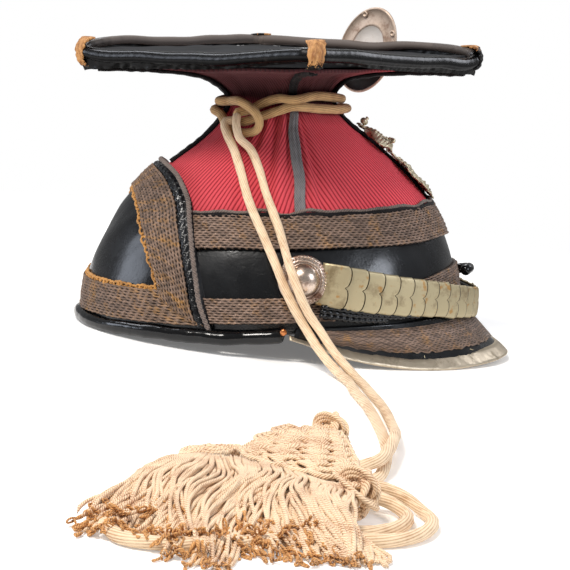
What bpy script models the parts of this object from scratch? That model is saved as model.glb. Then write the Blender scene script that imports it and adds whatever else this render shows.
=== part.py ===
"""Czapka: a lancer's square-topped cap with its chin scales and cap lines.

Front is +X, the wearer's left is +Y and up is +Z. Sizes and places are in millimetres, and MM
turns them into Blender's metres. The cap is modelled level, with its rim at height 0, and then
pitched back as a whole, so that it rests on the rear of its rim and on the edge of its peak.
"""

import math

import bmesh
import bpy
import numpy as np
from mathutils import Matrix, Vector

MM = 0.001
GAP = 0.4  # left between pieces that touch
COLUMNS = 36  # round the cap, shared by everything that wraps it, so that the facets lie parallel

# The outer surface of skull and cloth, by run: the distance up the surface from the rim.
# Roundness 2 is an oval, and 1 a diamond with its corners at front, rear, left and right.
BODY = (
    # run, height, rear, front, half_width, roundness
    (0, 0.0, 115.0, 102.0, 86.0, 2.0),
    (20, 20.0, 112.0, 100.0, 84.0, 2.0),
    (41, 40.0, 104.5, 95.5, 77.5, 2.0),
    (63, 60.0, 93.0, 86.8, 66.5, 2.0),
    (83, 75.0, 81.0, 75.5, 57.0, 1.95),
    (101, 88.0, 66.0, 62.5, 49.0, 1.9),
    (119, 101.0, 48.5, 47.5, 41.0, 1.8),
    (131, 110.0, 39.5, 36.5, 35.5, 1.7),
    (141, 118.0, 34.0, 29.8, 31.5, 1.6),
    (147, 123.5, 32.0, 27.4, 29.8, 1.5),
    (153, 129.5, 35.0, 29.2, 32.0, 1.4),
    (160, 135.0, 42.3, 35.3, 39.0, 1.25),
    (172, 138.5, 53.0, 50.0, 52.0, 1.1),
    (190, 140.2, 70.0, 70.0, 70.0, 1.03),
    (238, 141.0, 112.6, 109.8, 111.2, 1.0),
)
WAIST_RUN = 147
BOARD_RUN = 238

SKULL_THICK = 2.4
SKULL_TUCK = 3.0  # how far the skull steps in beneath the cloth
SKULL_TOP_RUN = 127
CLOTH_THICK = 1.6
CLOTH_FOOT_RUN = 59
CLOTH_OUT = 0.6  # of what lies on the cloth

LACE_THICK = 1.3
LACE_OUT = 0.7  # of the lace's back from the surface under it
UPPER_LACE_RUNS = (47, 66)
LOWER_LACE_RUNS = (7.5, 21)
LOWER_LACE_FRONT_RISE = 8.0

GUARD_IN, GUARD_OUT = 1.7, 3.7  # the rear guard's two faces, out from the skull
# The guard's front edge and its lace's inner edge, from the rim to the top of the arch. The
# angles are from the rear.
GUARD_ARCH = (
    # station, edge_run, edge_half_angle, inner_run, inner_half_angle
    (0, 2.0, 64.5, 2.0, 51.0),
    (1, 17.0, 61.0, 17.0, 48.3),
    (2, 30.0, 59.0, 29.0, 45.3),
    (3, 46.0, 56.0, 42.0, 40.0),
    (4, 59.0, 53.0, 52.0, 34.5),
    (5, 75.0, 48.0, 63.0, 27.5),
    (6, 87.0, 39.0, 71.0, 19.5),
    (7, 94.0, 28.0, 75.5, 12.5),
    (8, 98.0, 13.0, 78.0, 5.5),
    (9, 99.0, 0.0, 78.5, 0.0),
)
ARCH_TOP = 9
GUARD_STRIP = 0.27  # of the arch's width, for the cord and the stitched strip outside the lace
RIM_LACE_RUNS = (6.0, 23.0)

RIM_RADIUS = 3.5
RIM_HEIGHTS = (2.6, 0.6)  # of the binding's centre, at the rear and at the sides
RIM_END = 96  # the angle from the front where the binding meets the peak

PEAK_THICK = 2.4
# Where the peak's metal edge runs, by angle from the front about the point PEAK_CENTRE_X.
PEAK_CENTRE_X, PEAK_REACH, PEAK_HALF = -8.0, 137.0, 89.5
PEAK_DROP = (
    # angle, drop
    (0, 24.2),
    (20, 23.0),
    (40, 22.0),
    (50, 21.2),
    (60, 18.8),
    (70, 14.6),
    (80, 8.2),
    (92, -1.0),
)
PEAK_ROOT_OUT, PEAK_ROOT_RUNS = 2.9, (3.6, 5.0)  # on the skull, at the front and at the sides
PEAK_ARCH = 0.2
PEAK_END = 91
PEAK_TRIM_RADIUS = 2.4

BOARD_TOP = 151.8  # at its middle
BOARD_THICK = 3.6
BOARD_REACH = 110.6  # from its middle to a corner
BOARD_CENTRE_X = -1.4
BOARD_FALL, BOARD_LEAN = 3.0, 1.8  # how far it tilts down at the front, and at the right
BOARD_HOLLOW = 0.02  # how much the sides bend in
# Where the board's two right-hand edges sag.
SAGS = (
    # x, y, depth, width
    (-58, -58, 3.4, 42),
    (60, -56, 1.5, 42),
)
FLARE_DEPTH = 6.7  # from the board's top to the cloth's underside at the edge
TIP_DROOPS = (3.6, 5.0)  # the cloth lies this much lower at the front and the rear corner
# The leather roll round the board, by station: each whole number is a corner.
# 0 front, 1 left, 2 rear, 3 right.
ROLL_REACH = 116.6
ROLL = (
    # station, height, radius
    (0.06, 150.5, 2.6),
    (0.5, 153.2, 2.6),
    (0.94, 156.4, 2.9),
    (1.06, 156.8, 2.9),
    (1.5, 155.2, 2.7),
    (1.94, 156.2, 2.8),
    (2.07, 150.2, 3.5),
    (2.3, 147.9, 3.4),
    (2.55, 146.9, 3.0),
    (2.75, 148.6, 3.2),
    (2.95, 151.6, 3.5),
    (3.06, 151.0, 3.4),
    (3.25, 149.0, 3.5),
    (3.5, 146.8, 3.6),
    (3.75, 145.2, 3.6),
    (3.93, 144.2, 3.6),
)

WRAPS = (
    # name, angle, width, bottom, top
    ("front", 0, 9, 139.5, 154.6),
    ("left", 90, 11, 152.0, 161.4),
    ("rear", 180, 10, 143.0, 160.2),
    ("right", 270, 10, 145.0, 159.0),
)
WRAP_THICK, WRAP_REACH, WRAP_BEND = 1.2, 118.0, 5.0

BRAID_WIDTH, BRAID_THICK, BRAID_TOP_RUN = 6.5, 1.2, 226

BOSS_PLACE = (-3.0, 88.6, 31.5)  # of its back, on the wearer's left
BOSS_RADIUS, BOSS_DEPTH = 13.5, 9.0
# The line of the chin scales, from the boss round to the middle of the front.
CHAIN = (
    # station, x, y, height
    (0, 5.0, 92.4, 30.0),
    (1, 22.0, 90.4, 26.5),
    (2, 40.0, 84.4, 22.5),
    (3, 57.6, 75.8, 19.0),
    (4, 73.8, 64.2, 15.5),
    (5, 89.2, 51.0, 11.8),
    (6, 101.4, 35.2, 8.6),
    (7, 110.4, 18.2, 6.2),
    (8, 113.8, 0.0, 5.3),
)
SCALES_A_SIDE = 12
FIRST_SCALE_LENGTH, SCALE_PITCH = 4.0, 10.4
STRAP_START, STRAP_IN, STRAP_THICK = 7.5, 1.0, 1.6
SCALE_TALL = (24.0, 15.4)  # at the boss and at the front
SCALE_LAP, SCALE_THICK = 6.6, 0.7
SCALE_SLOPES = (0.28, 0.16)  # how steeply the first scale and the others lean out

PLATE = (
    # run, half_width
    (66, 5.0),
    (74, 15.0),
    (84, 21.0),
    (94, 17.0),
    (101, 9.0),
    (107, 9.0),
    (113, 15.0),
    (120, 14.0),
    (127, 4.0),
)
PLATE_OUT, PLATE_THICK = 2.9, 1.6

COCKADE_PLACE = (59.6, 61.6, 150.5)
COCKADE_SIZE = (39.0, 56.0)
COCKADE_TURN, COCKADE_THICK = 30.0, 1.8

CORD_RADIUS = 2.6
# The cap line's two turns round the waist, with the loop that its own strands pass through.
WAIST_ROUTE = (
    # angle, run, out from the cloth
    (-134, 138.8, 5.2),
    (-128, 143.4, 3.4),
    (-108, 150.0, 3.3),
    (-90, 152.0, 6.8),
    (-60, 151.2, 3.4),
    (-30, 149.2, 3.6),
    (0, 147.2, 5.8),
    (30, 148.4, 3.6),
    (60, 149.6, 3.4),
    (90, 150.8, 6.6),
    (120, 149.6, 3.4),
    (150, 148.2, 3.6),
    (180, 147.0, 6.5),
    (200, 146.8, 4.2),
    (212, 145.8, 6.8),
    (222, 144.6, 9.6),
    (232, 141.6, 10.0),
    (239, 136.4, 9.4),
    (242, 130.6, 6.6),
    (239.5, 125.8, 3.9),
    (231, 123.4, 3.2),
    (220, 124.6, 3.2),
    (208, 130.4, 3.2),
    (195, 135.6, 3.6),
    (180, 137.4, 6.4),
    (150, 139.0, 3.6),
    (120, 140.0, 3.4),
    (90, 140.8, 6.2),
    (60, 140.0, 3.4),
    (30, 138.8, 3.6),
    (0, 137.2, 5.8),
    (-30, 139.2, 3.6),
    (-60, 141.2, 3.4),
    (-90, 142.0, 6.4),
    (-108, 140.2, 3.3),
    (-120, 136.4, 3.3),
    (-129, 133.0, 3.4),
)
# The two strands, down the side of the cap.
STRAND_A_ON_CAP = (
    # angle, run, out
    (-135.6, 131.4, 5.0),
    (-142.0, 126.2, 9.3),
    (-136.5, 119.5, 6.2),
    (-127, 111.0, 3.3),
    (-117, 97.0, 3.2),
    (-110.5, 80.0, 3.2),
    (-106, 65.0, 5.2),
    (-102.5, 53.0, 5.3),
)
STRAND_B_ON_CAP = (
    # angle, run, out
    (-135.0, 133.6, 10.6),
    (-132.5, 126.0, 9.6),
    (-127, 118.0, 6.3),
    (-117.5, 112.0, 3.3),
    (-108.5, 98.0, 3.2),
    (-103.5, 82.0, 3.2),
    (-99.5, 65.0, 5.2),
    (-97.5, 55.0, 5.5),
)
# From there they pass in front of the boss and over the rim, and lie on the floor. Each goes
# under the large flounder, turns back there, and comes out again as a loop.
STRAND_A_BELOW = (
    # x, y, height above the floor
    (-20.4, -91.4, 52.4),
    (-14.6, -97.2, 40.4),
    (-8.0, -99.4, 29.6),
    (-0.5, -101.5, 19.2),
    (6.0, -110.0, 10.6),
    (13.6, -125.0, 3.6),
    (16.0, -142.0, 2.8),
    (15.0, -164.0, 2.8),
    (15.0, -200.0, 2.8),
    (11.8, -246.0, 2.8),
    (7.0, -283.0, 2.8),
    (-1.4, -318.0, 2.8),
    (-9.4, -336.0, 2.8),
    (-24.4, -344.6, 2.8),
    (-35.9, -345.1, 2.8),
    (-44.4, -348.8, 2.8),
    (-47.8, -356.9, 2.8),
    (-44.4, -365.0, 2.8),
    (-35.9, -368.4, 4.0),
    (-26.4, -365.6, 6.6),
    (-14.4, -362.0, 7.6),
    (-4.4, -366.0, 5.6),
    (1.8, -376.0, 2.9),
    (3.0, -388.0, 2.8),
    (-1.0, -400.0, 2.8),
    (-9.4, -411.0, 2.8),
    (-20.4, -417.6, 2.8),
    (-34.4, -418.6, 2.8),
    (-54.4, -424.0, 2.8),
    (-74.4, -431.0, 2.8),
    (-90.4, -436.4, 2.8),
    (-104.0, -437.3, 2.8),
    (-113.1, -433.6, 2.8),
    (-116.8, -424.5, 2.8),
    (-113.1, -415.4, 2.8),
    (-104.0, -411.7, 2.8),
    (-92.4, -411.5, 2.8),
)
STRAND_B_BELOW = (
    # x, y, height above the floor
    (-13.4, -97.4, 52.0),
    (-8.6, -101.2, 41.6),
    (-2.2, -102.0, 30.4),
    (5.8, -104.2, 20.6),
    (12.8, -113.0, 11.6),
    (21.0, -128.0, 3.8),
    (23.0, -144.0, 2.8),
    (23.0, -166.0, 2.8),
    (22.8, -198.0, 2.8),
    (19.0, -240.0, 3.0),
    (15.4, -260.0, 5.2),
    (10.2, -282.0, 8.4),
    (3.4, -304.0, 8.6),
    (-4.4, -324.0, 8.6),
    (-13.4, -332.0, 7.4),
    (-25.4, -334.4, 4.2),
    (-42.4, -339.4, 2.8),
    (-56.0, -350.6, 2.8),
    (-56.4, -366.4, 2.8),
    (-44.4, -375.0, 2.8),
    (-31.4, -374.0, 5.0),
    (-20.4, -371.0, 6.4),
    (-10.4, -374.0, 4.6),
    (-5.8, -383.0, 2.8),
    (-8.4, -394.0, 2.8),
    (-16.4, -404.0, 2.8),
    (-27.4, -410.0, 2.8),
    (-40.4, -409.0, 2.8),
    (-50.4, -400.0, 2.8),
)
# The plaited flounders and their fringes lie on the cords. Each is given by its four corners.
HEAPS = (
    # name, thickness, dome, corners from the root's left end round to the tip's left end
    ("flounder_large", 6, 3, ((-40.4, -304, 14), (-18.4, -298, 16), (-23.4, -390, 16), (-69.4, -350, 14))),
    ("fringe_large", 4, 3, ((-71.4, -352, 14), (-27.4, -391, 14), (-28.4, -444, 10.2), (-86.4, -446, 10.2))),
    ("flounder_small", 4, 1, ((-84.4, -338, 12), (-60.4, -328, 12), (-72.4, -347, 12), (-88.4, -350, 12))),
    ("fringe_small", 4, 3, ((-92.4, -352, 12), (-74.4, -350, 13), (-89.4, -442, 10.2), (-122.4, -416, 10.2))),
)
HEAP_ROUNDING = 0.16

REST_X = 1.6  # brings the middle of the cap to 0


def along(table, station):
    """Each column of a table at a station between its rows, on a smooth curve."""
    rows = np.array(table, float)
    stations = rows[:, 0]
    slopes = np.gradient(rows, stations, axis=0)
    i = int(np.clip(np.searchsorted(stations, station) - 1, 0, len(rows) - 2))
    span = stations[i + 1] - stations[i]
    t = float(np.clip((station - stations[i]) / span, 0, 1))
    start = (1 + 2 * t) * (1 - t) ** 2 * rows[i] + t * (1 - t) ** 2 * span * slopes[i]
    end = t * t * (3 - 2 * t) * rows[i + 1] - t * t * (1 - t) * span * slopes[i + 1]
    return (start + end)[1:]


def board_top(x, y):
    """The height of the board's top, with its tilt and its two sagging edges."""
    sag = sum(
        depth * math.exp(-((x - at_x) ** 2 + (y - at_y) ** 2) / (2 * width**2))
        for at_x, at_y, depth, width in SAGS
    )
    return BOARD_TOP - BOARD_FALL * x / ROLL_REACH + BOARD_LEAN * y / ROLL_REACH - sag


def body_outline(angle, run):
    height, rear, front, half, roundness = along(BODY, run)
    c, s = math.cos(math.radians(angle)), math.sin(math.radians(angle))
    reach = front if c > 0 else rear
    x = math.copysign(abs(c) ** (2 / roundness), c) * reach
    y = math.copysign(abs(s) ** (2 / roundness), s) * half
    return x, y, height


def flare_edge(x, y):
    """The height of the cloth's underside below a place on the board's edge."""
    toward_tip = (abs(x) / (abs(x) + abs(y))) ** 4
    droop = TIP_DROOPS[0] if x > 0 else TIP_DROOPS[1]
    return board_top(x, y) - FLARE_DEPTH - droop * toward_tip


def bare_point(angle, run):
    x, y, height = body_outline(angle, run)
    if run > WAIST_RUN:
        edge_x, edge_y, level = body_outline(angle, BOARD_RUN)
        t = (run - WAIST_RUN) / (BOARD_RUN - WAIST_RUN)
        height += t * t * (3 - 2 * t) * (flare_edge(edge_x, edge_y) - level)
    return Vector((x, y, height))


def body_point(angle, run, out=0.0):
    """A point on the cap's outer surface, moved out along its normal."""
    point = bare_point(angle, run)
    if not out:
        return point
    round_it = bare_point(angle + 0.2, run) - bare_point(angle - 0.2, run)
    up_it = bare_point(angle, min(run + 0.5, BOARD_RUN)) - bare_point(angle, max(run - 0.5, 0))
    return point + round_it.cross(up_it).normalized() * out


def material(name, colour, roughness, metallic=0.0):
    made = bpy.data.materials.new(name)
    made.use_nodes = True
    shader = made.node_tree.nodes["Principled BSDF"]
    shader.inputs["Base Color"].default_value = (*colour, 1)
    shader.inputs["Roughness"].default_value = roughness
    shader.inputs["Metallic"].default_value = metallic
    made.diffuse_color = (*colour, 1)
    return made


def add(name, data, finish, on_cap=True):
    """Puts a mesh or a curve in the scene as one named piece."""
    piece = bpy.data.objects.new(name, data)
    data.materials.append(finish)
    collection.objects.link(piece)
    if on_cap:
        piece.parent = cap
    return piece


def thicken(piece, thickness, offset=1):
    """Gives an open surface a wall: offset 1 grows it outwards, and -1 inwards."""
    wall = piece.modifiers.new("wall", "SOLIDIFY")
    wall.thickness = thickness * MM
    wall.offset = offset
    return piece


def sheet(name, finish, columns, rows, place, on_cap=True):
    """A grid whose points, from (0, 0) to (1, 1), are put where place(u, v) says."""
    bm = bmesh.new()
    bmesh.ops.create_grid(bm, x_segments=columns, y_segments=rows, size=0.5)
    for vert in bm.verts:
        vert.co = place(vert.co.x + 0.5, vert.co.y + 0.5) * MM
    bmesh.ops.remove_doubles(bm, verts=bm.verts, dist=1e-6)
    return add(name, mesh_of(bm, name), finish, on_cap)


def mesh_of(bm, name):
    data = bpy.data.meshes.new(name)
    bm.to_mesh(data)
    bm.free()
    return data


def tube(name, finish, points, radius, closed=False, on_cap=True, radii=None):
    data = bpy.data.curves.new(name, "CURVE")
    data.dimensions = "3D"
    data.bevel_depth = radius * MM
    data.bevel_resolution = 2
    data.use_fill_caps = not closed
    spline = data.splines.new("POLY")
    spline.points.add(len(points) - 1)
    for i, point in enumerate(points):
        spline.points[i].co = (*(Vector(point) * MM), 1)
        spline.points[i].radius = radii[i] / radius if radii else 1
    spline.use_cyclic_u = closed
    return add(name, data, finish, on_cap)


def smooth_route(route, spacing):
    """Points a spacing apart on a smooth curve through the route's own points."""
    rows = [(i, *point) for i, point in enumerate(route)]
    fine = [Vector(along(rows, s)) for s in np.linspace(0, len(route) - 1, 40 * len(route))]
    steps = np.cumsum([0] + [(b - a).length for a, b in zip(fine, fine[1:])])
    count = round(steps[-1] / spacing) + 1
    return [fine[int(np.searchsorted(steps, at))] for at in np.linspace(0, steps[-1] - 1e-6, count)]


def skull_out(run):
    """The skull steps in beneath the cloth."""
    share = min(max((run - 50) / 7, 0), 1)
    return -SKULL_TUCK * share


def build_skull():
    runs = (1.5, 11, 21, 35, 49, 57, 70, 84, 101, 115, SKULL_TOP_RUN)

    def place(u, v):
        run = runs[round(v * (len(runs) - 1))]
        return body_point(360 * u, run, skull_out(run))

    skull = sheet("skull", patent, COLUMNS, len(runs) - 1, place)
    bm = bmesh.new()
    bm.from_mesh(skull.data)
    top = [e for e in bm.edges if e.is_boundary and e.verts[0].co.z > 50 * MM]
    bmesh.ops.holes_fill(bm, edges=top, sides=0)
    bm.to_mesh(skull.data)
    bm.free()
    thicken(skull, SKULL_THICK, -1)


def build_cloth_cover():
    runs = (CLOTH_FOOT_RUN, 70, 84, 101, 119, 131, 141, 147, 153, 160, 172, 190, 214, BOARD_RUN - 1)

    def place(u, v):
        return body_point(360 * u, runs[round(v * (len(runs) - 1))])

    thicken(sheet("cloth_cover", red_cloth, COLUMNS, len(runs) - 1, place), CLOTH_THICK, -1)


def guard_half_angle(run):
    """The guard's half width at a run, as an angle from the rear."""
    runs = [row[1] for row in GUARD_ARCH]
    return float(np.interp(run, runs, [row[2] for row in GUARD_ARCH]))


def build_rear_guard():
    runs = (1.5, 11, 21, 35, 49, 62, 75, 84, 90, 94, 97, 98.8)

    def place(u, v):
        run = runs[round(v * (len(runs) - 1))]
        return body_point(180 + (2 * u - 1) * guard_half_angle(run), run, GUARD_IN)

    thicken(sheet("rear_guard", patent, 14, len(runs) - 1, place), GUARD_OUT - GUARD_IN)


def arch_point(u, v, out):
    """On the guard: u runs along its edge from side to side, v from the edge to the lace's inside."""
    station = ARCH_TOP * (1 - abs(2 * u - 1))
    edge_run, edge_angle, inner_run, inner_angle = along(GUARD_ARCH, station)
    side = -1 if u < 0.5 else 1
    run = edge_run + v * (inner_run - edge_run)
    return body_point(180 + side * (edge_angle + v * (inner_angle - edge_angle)), run, out)


def build_guard_lace():
    def arch(u, v):
        low = 0.09 + 0.82 * u
        return arch_point(low, 1 - v * (1 - GUARD_STRIP), GUARD_OUT + LACE_OUT + 0.4)

    thicken(sheet("guard_lace", lace, 26, 1, arch), LACE_THICK)

    def rim(u, v):
        run = RIM_LACE_RUNS[0] + v * (RIM_LACE_RUNS[1] - RIM_LACE_RUNS[0])
        half = 46.5 - 2 * v
        return body_point(180 + (2 * u - 1) * half, run, GUARD_OUT + LACE_OUT)

    thicken(sheet("guard_rim_lace", lace, 10, 2, rim), LACE_THICK)

    def strip(u, v):
        low = 0.045 + 0.91 * u
        return arch_point(low, (0.92 - 0.9 * v) * GUARD_STRIP, GUARD_OUT + LACE_OUT)

    thicken(sheet("guard_edge_cord", dark_leather, 26, 1, strip), LACE_THICK + 0.5)


def band_half_angle(run):
    """From the front to just short of the guard's edge."""
    return 180 - guard_half_angle(run) - 1.5


def build_bands():
    def upper(u, v):
        run = UPPER_LACE_RUNS[0] + v * (UPPER_LACE_RUNS[1] - UPPER_LACE_RUNS[0])
        return body_point((2 * u - 1) * band_half_angle(run), run, LACE_OUT)

    thicken(sheet("upper_lace", lace, 26, 2, upper), LACE_THICK)

    def lower(u, v):
        run = LOWER_LACE_RUNS[0] + v * (LOWER_LACE_RUNS[1] - LOWER_LACE_RUNS[0])
        angle = (2 * u - 1) * band_half_angle(run)
        rise = LOWER_LACE_FRONT_RISE * math.exp(-((angle / 60) ** 4))
        return body_point(angle, run + rise, LACE_OUT)

    thicken(sheet("lower_lace", lace, 26, 1, lower), LACE_THICK)


def rim_point(angle):
    """The centre of the rim binding, which steps out where it passes the guard."""
    from_rear = abs(angle - 180)
    side = min(from_rear / 84, 1)
    height = RIM_HEIGHTS[0] + (RIM_HEIGHTS[1] - RIM_HEIGHTS[0]) * side
    over_guard = min(max((73 - from_rear) / 5, 0), 1)
    at = bare_point(angle, 0)
    out = GUARD_OUT * over_guard + RIM_RADIUS + GAP
    return Vector((at.x, at.y, height)) + Vector((at.x, at.y, 0)).normalized() * out


def build_rim_binding():
    """Rolled leather round the lower edge, from one end of the peak round the rear to the other."""
    points = [rim_point(angle) for angle in np.linspace(RIM_END, 360 - RIM_END, 30)]
    tube("rim_binding", patent, points, RIM_RADIUS)


def peak_drop(angle):
    return float(along(PEAK_DROP, abs(angle))[0])


def bare_peak_point(angle, v):
    c, s = math.cos(math.radians(angle)), math.sin(math.radians(angle))
    outer = Vector((PEAK_CENTRE_X + PEAK_REACH * c, PEAK_HALF * s, -peak_drop(angle)))
    front_run, side_run = PEAK_ROOT_RUNS
    root_run = front_run + (side_run - front_run) * min(abs(angle) / 60, 1)
    root = body_point(angle * 1.03, root_run, PEAK_ROOT_OUT)
    return root.lerp(outer, v) + Vector((0, 0, PEAK_ARCH * math.sin(math.pi * v)))


def peak_point(angle, v, lift=0.0):
    """On the peak: v runs from the rim at 0 to the outer edge at 1. Lift is along its normal."""
    round_it = bare_peak_point(angle + 0.5, v) - bare_peak_point(angle - 0.5, v)
    outward = bare_peak_point(angle, v + 0.01) - bare_peak_point(angle, v - 0.01)
    return bare_peak_point(angle, v) + outward.cross(round_it).normalized() * lift


def peak_edge(angle):
    """The centre of the metal edge."""
    at = bare_peak_point(angle, 1.0)
    round_it = bare_peak_point(angle + 0.5, 1.0) - bare_peak_point(angle - 0.5, 1.0)
    return at + Vector((round_it.y, -round_it.x, 0)).normalized() * (PEAK_TRIM_RADIUS + GAP)


def build_peak():
    def leather(u, v):
        return peak_point((2 * u - 1) * (PEAK_END - 2), 0.02 + 0.98 * v)

    def top_lace(u, v):
        return peak_point((2 * u - 1) * (PEAK_END - 16), 0.32 + 0.36 * v, LACE_OUT)

    thicken(sheet("peak", patent, 24, 3, leather), PEAK_THICK)
    thicken(sheet("peak_lace", lace, 24, 2, top_lace), LACE_THICK, -1)
    points = [peak_edge(angle) for angle in np.linspace(-PEAK_END, PEAK_END, 29)]
    tube("peak_trim", nickel, points, PEAK_TRIM_RADIUS)


def board_place(p, q, reach):
    """Where |p| + |q| reaches 1 at the board's edge, with its corners at the ends."""
    shape = reach * (1 - BOARD_HOLLOW * 4 * abs(p * q))
    return BOARD_CENTRE_X + p * shape, q * shape


def build_board():
    """A lid: its top, and a skirt down to the edge of the cloth."""
    cells = 8

    def place(u, v):
        along_u, along_v = (u * (cells + 2) - 1) / cells, (v * (cells + 2) - 1) / cells
        skirt = not (-0.01 < along_u < 1.01 and -0.01 < along_v < 1.01)
        p, q = 2 * min(max(along_u, 0), 1) - 1, 2 * min(max(along_v, 0), 1) - 1
        blunt = 1 - 0.1 * max(0, abs(p) + abs(q) - 1.8)
        x, y = board_place((p + q) / 2 * blunt, (q - p) / 2 * blunt, BOARD_REACH)
        height = board_top(x, y)
        if skirt:
            height = flare_edge(x, y) + CLOTH_THICK + 2 * GAP
        return Vector((x, y, height))

    thicken(sheet("top_board", patent, cells + 2, cells + 2, place), BOARD_THICK, -1)


def roll_point(station):
    """The roll's centre and radius at a station round the board."""
    station = station % 4
    wrapped = [(row[0] + turn, *row[1:]) for turn in (-4, 0, 4) for row in ROLL]
    height, radius = along(wrapped, station)
    side = int(station)
    share = station - side
    corners = ((1, 0), (0, 1), (-1, 0), (0, -1), (1, 0))
    (px, py), (qx, qy) = corners[side], corners[side + 1]
    p, q = px + (qx - px) * share, py + (qy - py) * share
    blunt = 1 - 0.022 * max(0, 1 - min(share, 1 - share) / 0.04)
    x, y = board_place(p * blunt, q * blunt, ROLL_REACH)
    return Vector((x, y, height)), radius


def build_board_roll():
    shares = (0, 0.045, 0.1, 0.2, 0.3, 0.4, 0.5, 0.6, 0.7, 0.8, 0.9, 0.955)
    places = [roll_point(side + share) for side in range(4) for share in shares]
    points, radii = zip(*places)
    tube("board_edge_roll", dark_leather, points, 3.0, closed=True, radii=radii)


def build_corner_wraps():
    """A strip of leather bent round the outside of each corner."""
    for name, angle, width, bottom, top in WRAPS:
        tall = (top - bottom) / 2
        middle = (top + bottom) / 2
        turn = Matrix.Rotation(math.radians(angle), 4, "Z")

        def place(u, v, turn=turn, tall=tall, middle=middle, width=width):
            bend = math.radians(-100 + 200 * v)
            reach = WRAP_REACH - WRAP_BEND * (1 - math.cos(bend))
            at = turn @ Vector((reach, (0.5 - u) * width, 0))
            return at + Vector((BOARD_CENTRE_X, 0, middle + tall * math.sin(bend)))

        wrap = sheet("corner_wrap_" + name, tan_leather, 2, 8, place)
        thicken(wrap, WRAP_THICK, -1)


def braid(name, angle, low, high, count):
    """A tape over one of the cloth's four seams."""

    def place(u, v):
        run = low + (high - low) * v
        middle = body_point(angle, run, CLOTH_OUT)
        across = body_point(angle + 3, run) - body_point(angle - 3, run)
        return middle + across.normalized() * (u - 0.5) * BRAID_WIDTH

    thicken(sheet(name, braid_tape, 2, count, place), BRAID_THICK)


def build_seam_braids():
    for name, angle, low in (("front", 0, 68), ("rear", 180, 103), ("left", 90, 68), ("right", 270, 68)):
        braid("seam_braid_" + name, angle, low, BRAID_TOP_RUN, 24)


def turned(name, finish, profile, steps, place, direction, on_cap=True):
    """A profile of (radius, height) rows turned about its axis, which is then aimed."""
    data = bpy.data.meshes.new(name)
    points = [(radius * MM, 0, height * MM) for radius, height in profile]
    data.from_pydata(points, [(i, i + 1) for i in range(len(points) - 1)], [])
    piece = add(name, data, finish, on_cap)
    turn = piece.modifiers.new("turn", "SCREW")
    turn.steps = turn.render_steps = steps
    turn.use_merge_vertices = True
    turn.merge_threshold = 0.0001 * 0.5
    piece.location = Vector(place) * MM
    piece.rotation_euler = Vector(direction).to_track_quat("Z", "Y").to_euler()
    return piece


def build_bosses():
    profile = (
        (0, BOSS_DEPTH),
        (5, BOSS_DEPTH - 1),
        (8, BOSS_DEPTH - 4),
        (10, BOSS_DEPTH - 6),
        (BOSS_RADIUS - 1, BOSS_DEPTH - 6.3),
        (BOSS_RADIUS, 1.2),
        (BOSS_RADIUS, 0),
        (0, 0),
    )
    x, y, z = BOSS_PLACE
    for name, side in (("boss_left", 1), ("boss_right", -1)):
        turned(name, silver, profile, 16, (x, side * y, z), (0, side, 0.12))


def chain_frame(distance, side):
    """A point on the chain's line, with its directions: forwards, up and out."""
    rows = [row[1:] for row in CHAIN]
    line = [Vector((x, side * y, z)) for x, y, z in rows]
    line += [Vector((x, -side * y, z)) for x, y, z in reversed(rows[:-1])]
    fine = smooth_route(line, 1.0)
    steps = np.cumsum([0] + [(b - a).length for a, b in zip(fine, fine[1:])])
    i = min(int(np.searchsorted(steps, distance)), len(fine) - 2)
    forward = (fine[i + 1] - fine[i]).normalized()
    up = (Vector((0, 0, 1)) - forward * forward.z).normalized()
    out = up.cross(forward) * side
    return fine[i], forward, up, out


def chain_length():
    rows = [row[1:] for row in CHAIN]
    line = smooth_route([Vector(row) for row in rows], 1.0)
    return sum((b - a).length for a, b in zip(line, line[1:]))


def scale_outline(length, tall):
    """A scale's outline: a straight root, and two lobes with a notch between at its other end."""
    half = tall / 2
    lobe = half / 2
    points = [(0, -half), (length - lobe, -half)]
    for centre in (-lobe, lobe):
        for turn in (-50, 0, 50):
            bend = math.radians(turn)
            points.append((length - lobe + lobe * math.cos(bend), centre + lobe * math.sin(bend)))
    points += [(length - lobe, half), (0, half)]
    return points


def scale_mesh(bm, start, length, tall, side, slope):
    """Adds one scale, which leans out so that its end lies over the next one's root."""
    at, forward, up, out = chain_frame(start, side)
    end = chain_frame(start + length, side)[0]
    forward = (end - at).normalized()
    out = up.cross(forward) * side
    corners = [
        at + forward * x + up * y + out * slope * x
        for x, y in scale_outline(length, tall)
    ]
    face = bm.faces.new([bm.verts.new(corner * MM) for corner in corners])
    extruded = bmesh.ops.extrude_face_region(bm, geom=[face])
    moved = [v for v in extruded["geom"] if isinstance(v, bmesh.types.BMVert)]
    bmesh.ops.translate(bm, verts=moved, vec=out * SCALE_THICK * MM)
    bmesh.ops.recalc_face_normals(bm, faces=bm.faces)


def build_chin_scales():
    total = chain_length()
    for side_name, side in (("left", 1), ("right", -1)):
        start = 6.4
        for index in range(SCALES_A_SIDE):
            length = FIRST_SCALE_LENGTH if index == 0 else SCALE_PITCH
            share = start / total
            tall = SCALE_TALL[0] + (SCALE_TALL[1] - SCALE_TALL[0]) * share
            bm = bmesh.new()
            scale_mesh(bm, start, length + SCALE_LAP, tall, side, SCALE_SLOPES[min(index, 1)])
            name = f"chin_scale_{side_name}_{index + 1:02d}"
            add(name, mesh_of(bm, name), brass)
            start += length
    return start


def build_front_scales(start):
    """The small scales that meet over the peak, as one curved plate."""
    total = chain_length()
    reach = total - start - 2.2

    def place(u, v):
        at, forward, up, out = chain_frame(total + (2 * u - 1) * reach, 1)
        return at + up * (v - 0.5) * SCALE_TALL[1] + out * 0.2

    plate = sheet("chin_scales_front", brass, 12, 1, place)
    thicken(plate, SCALE_THICK, -1)


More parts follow.
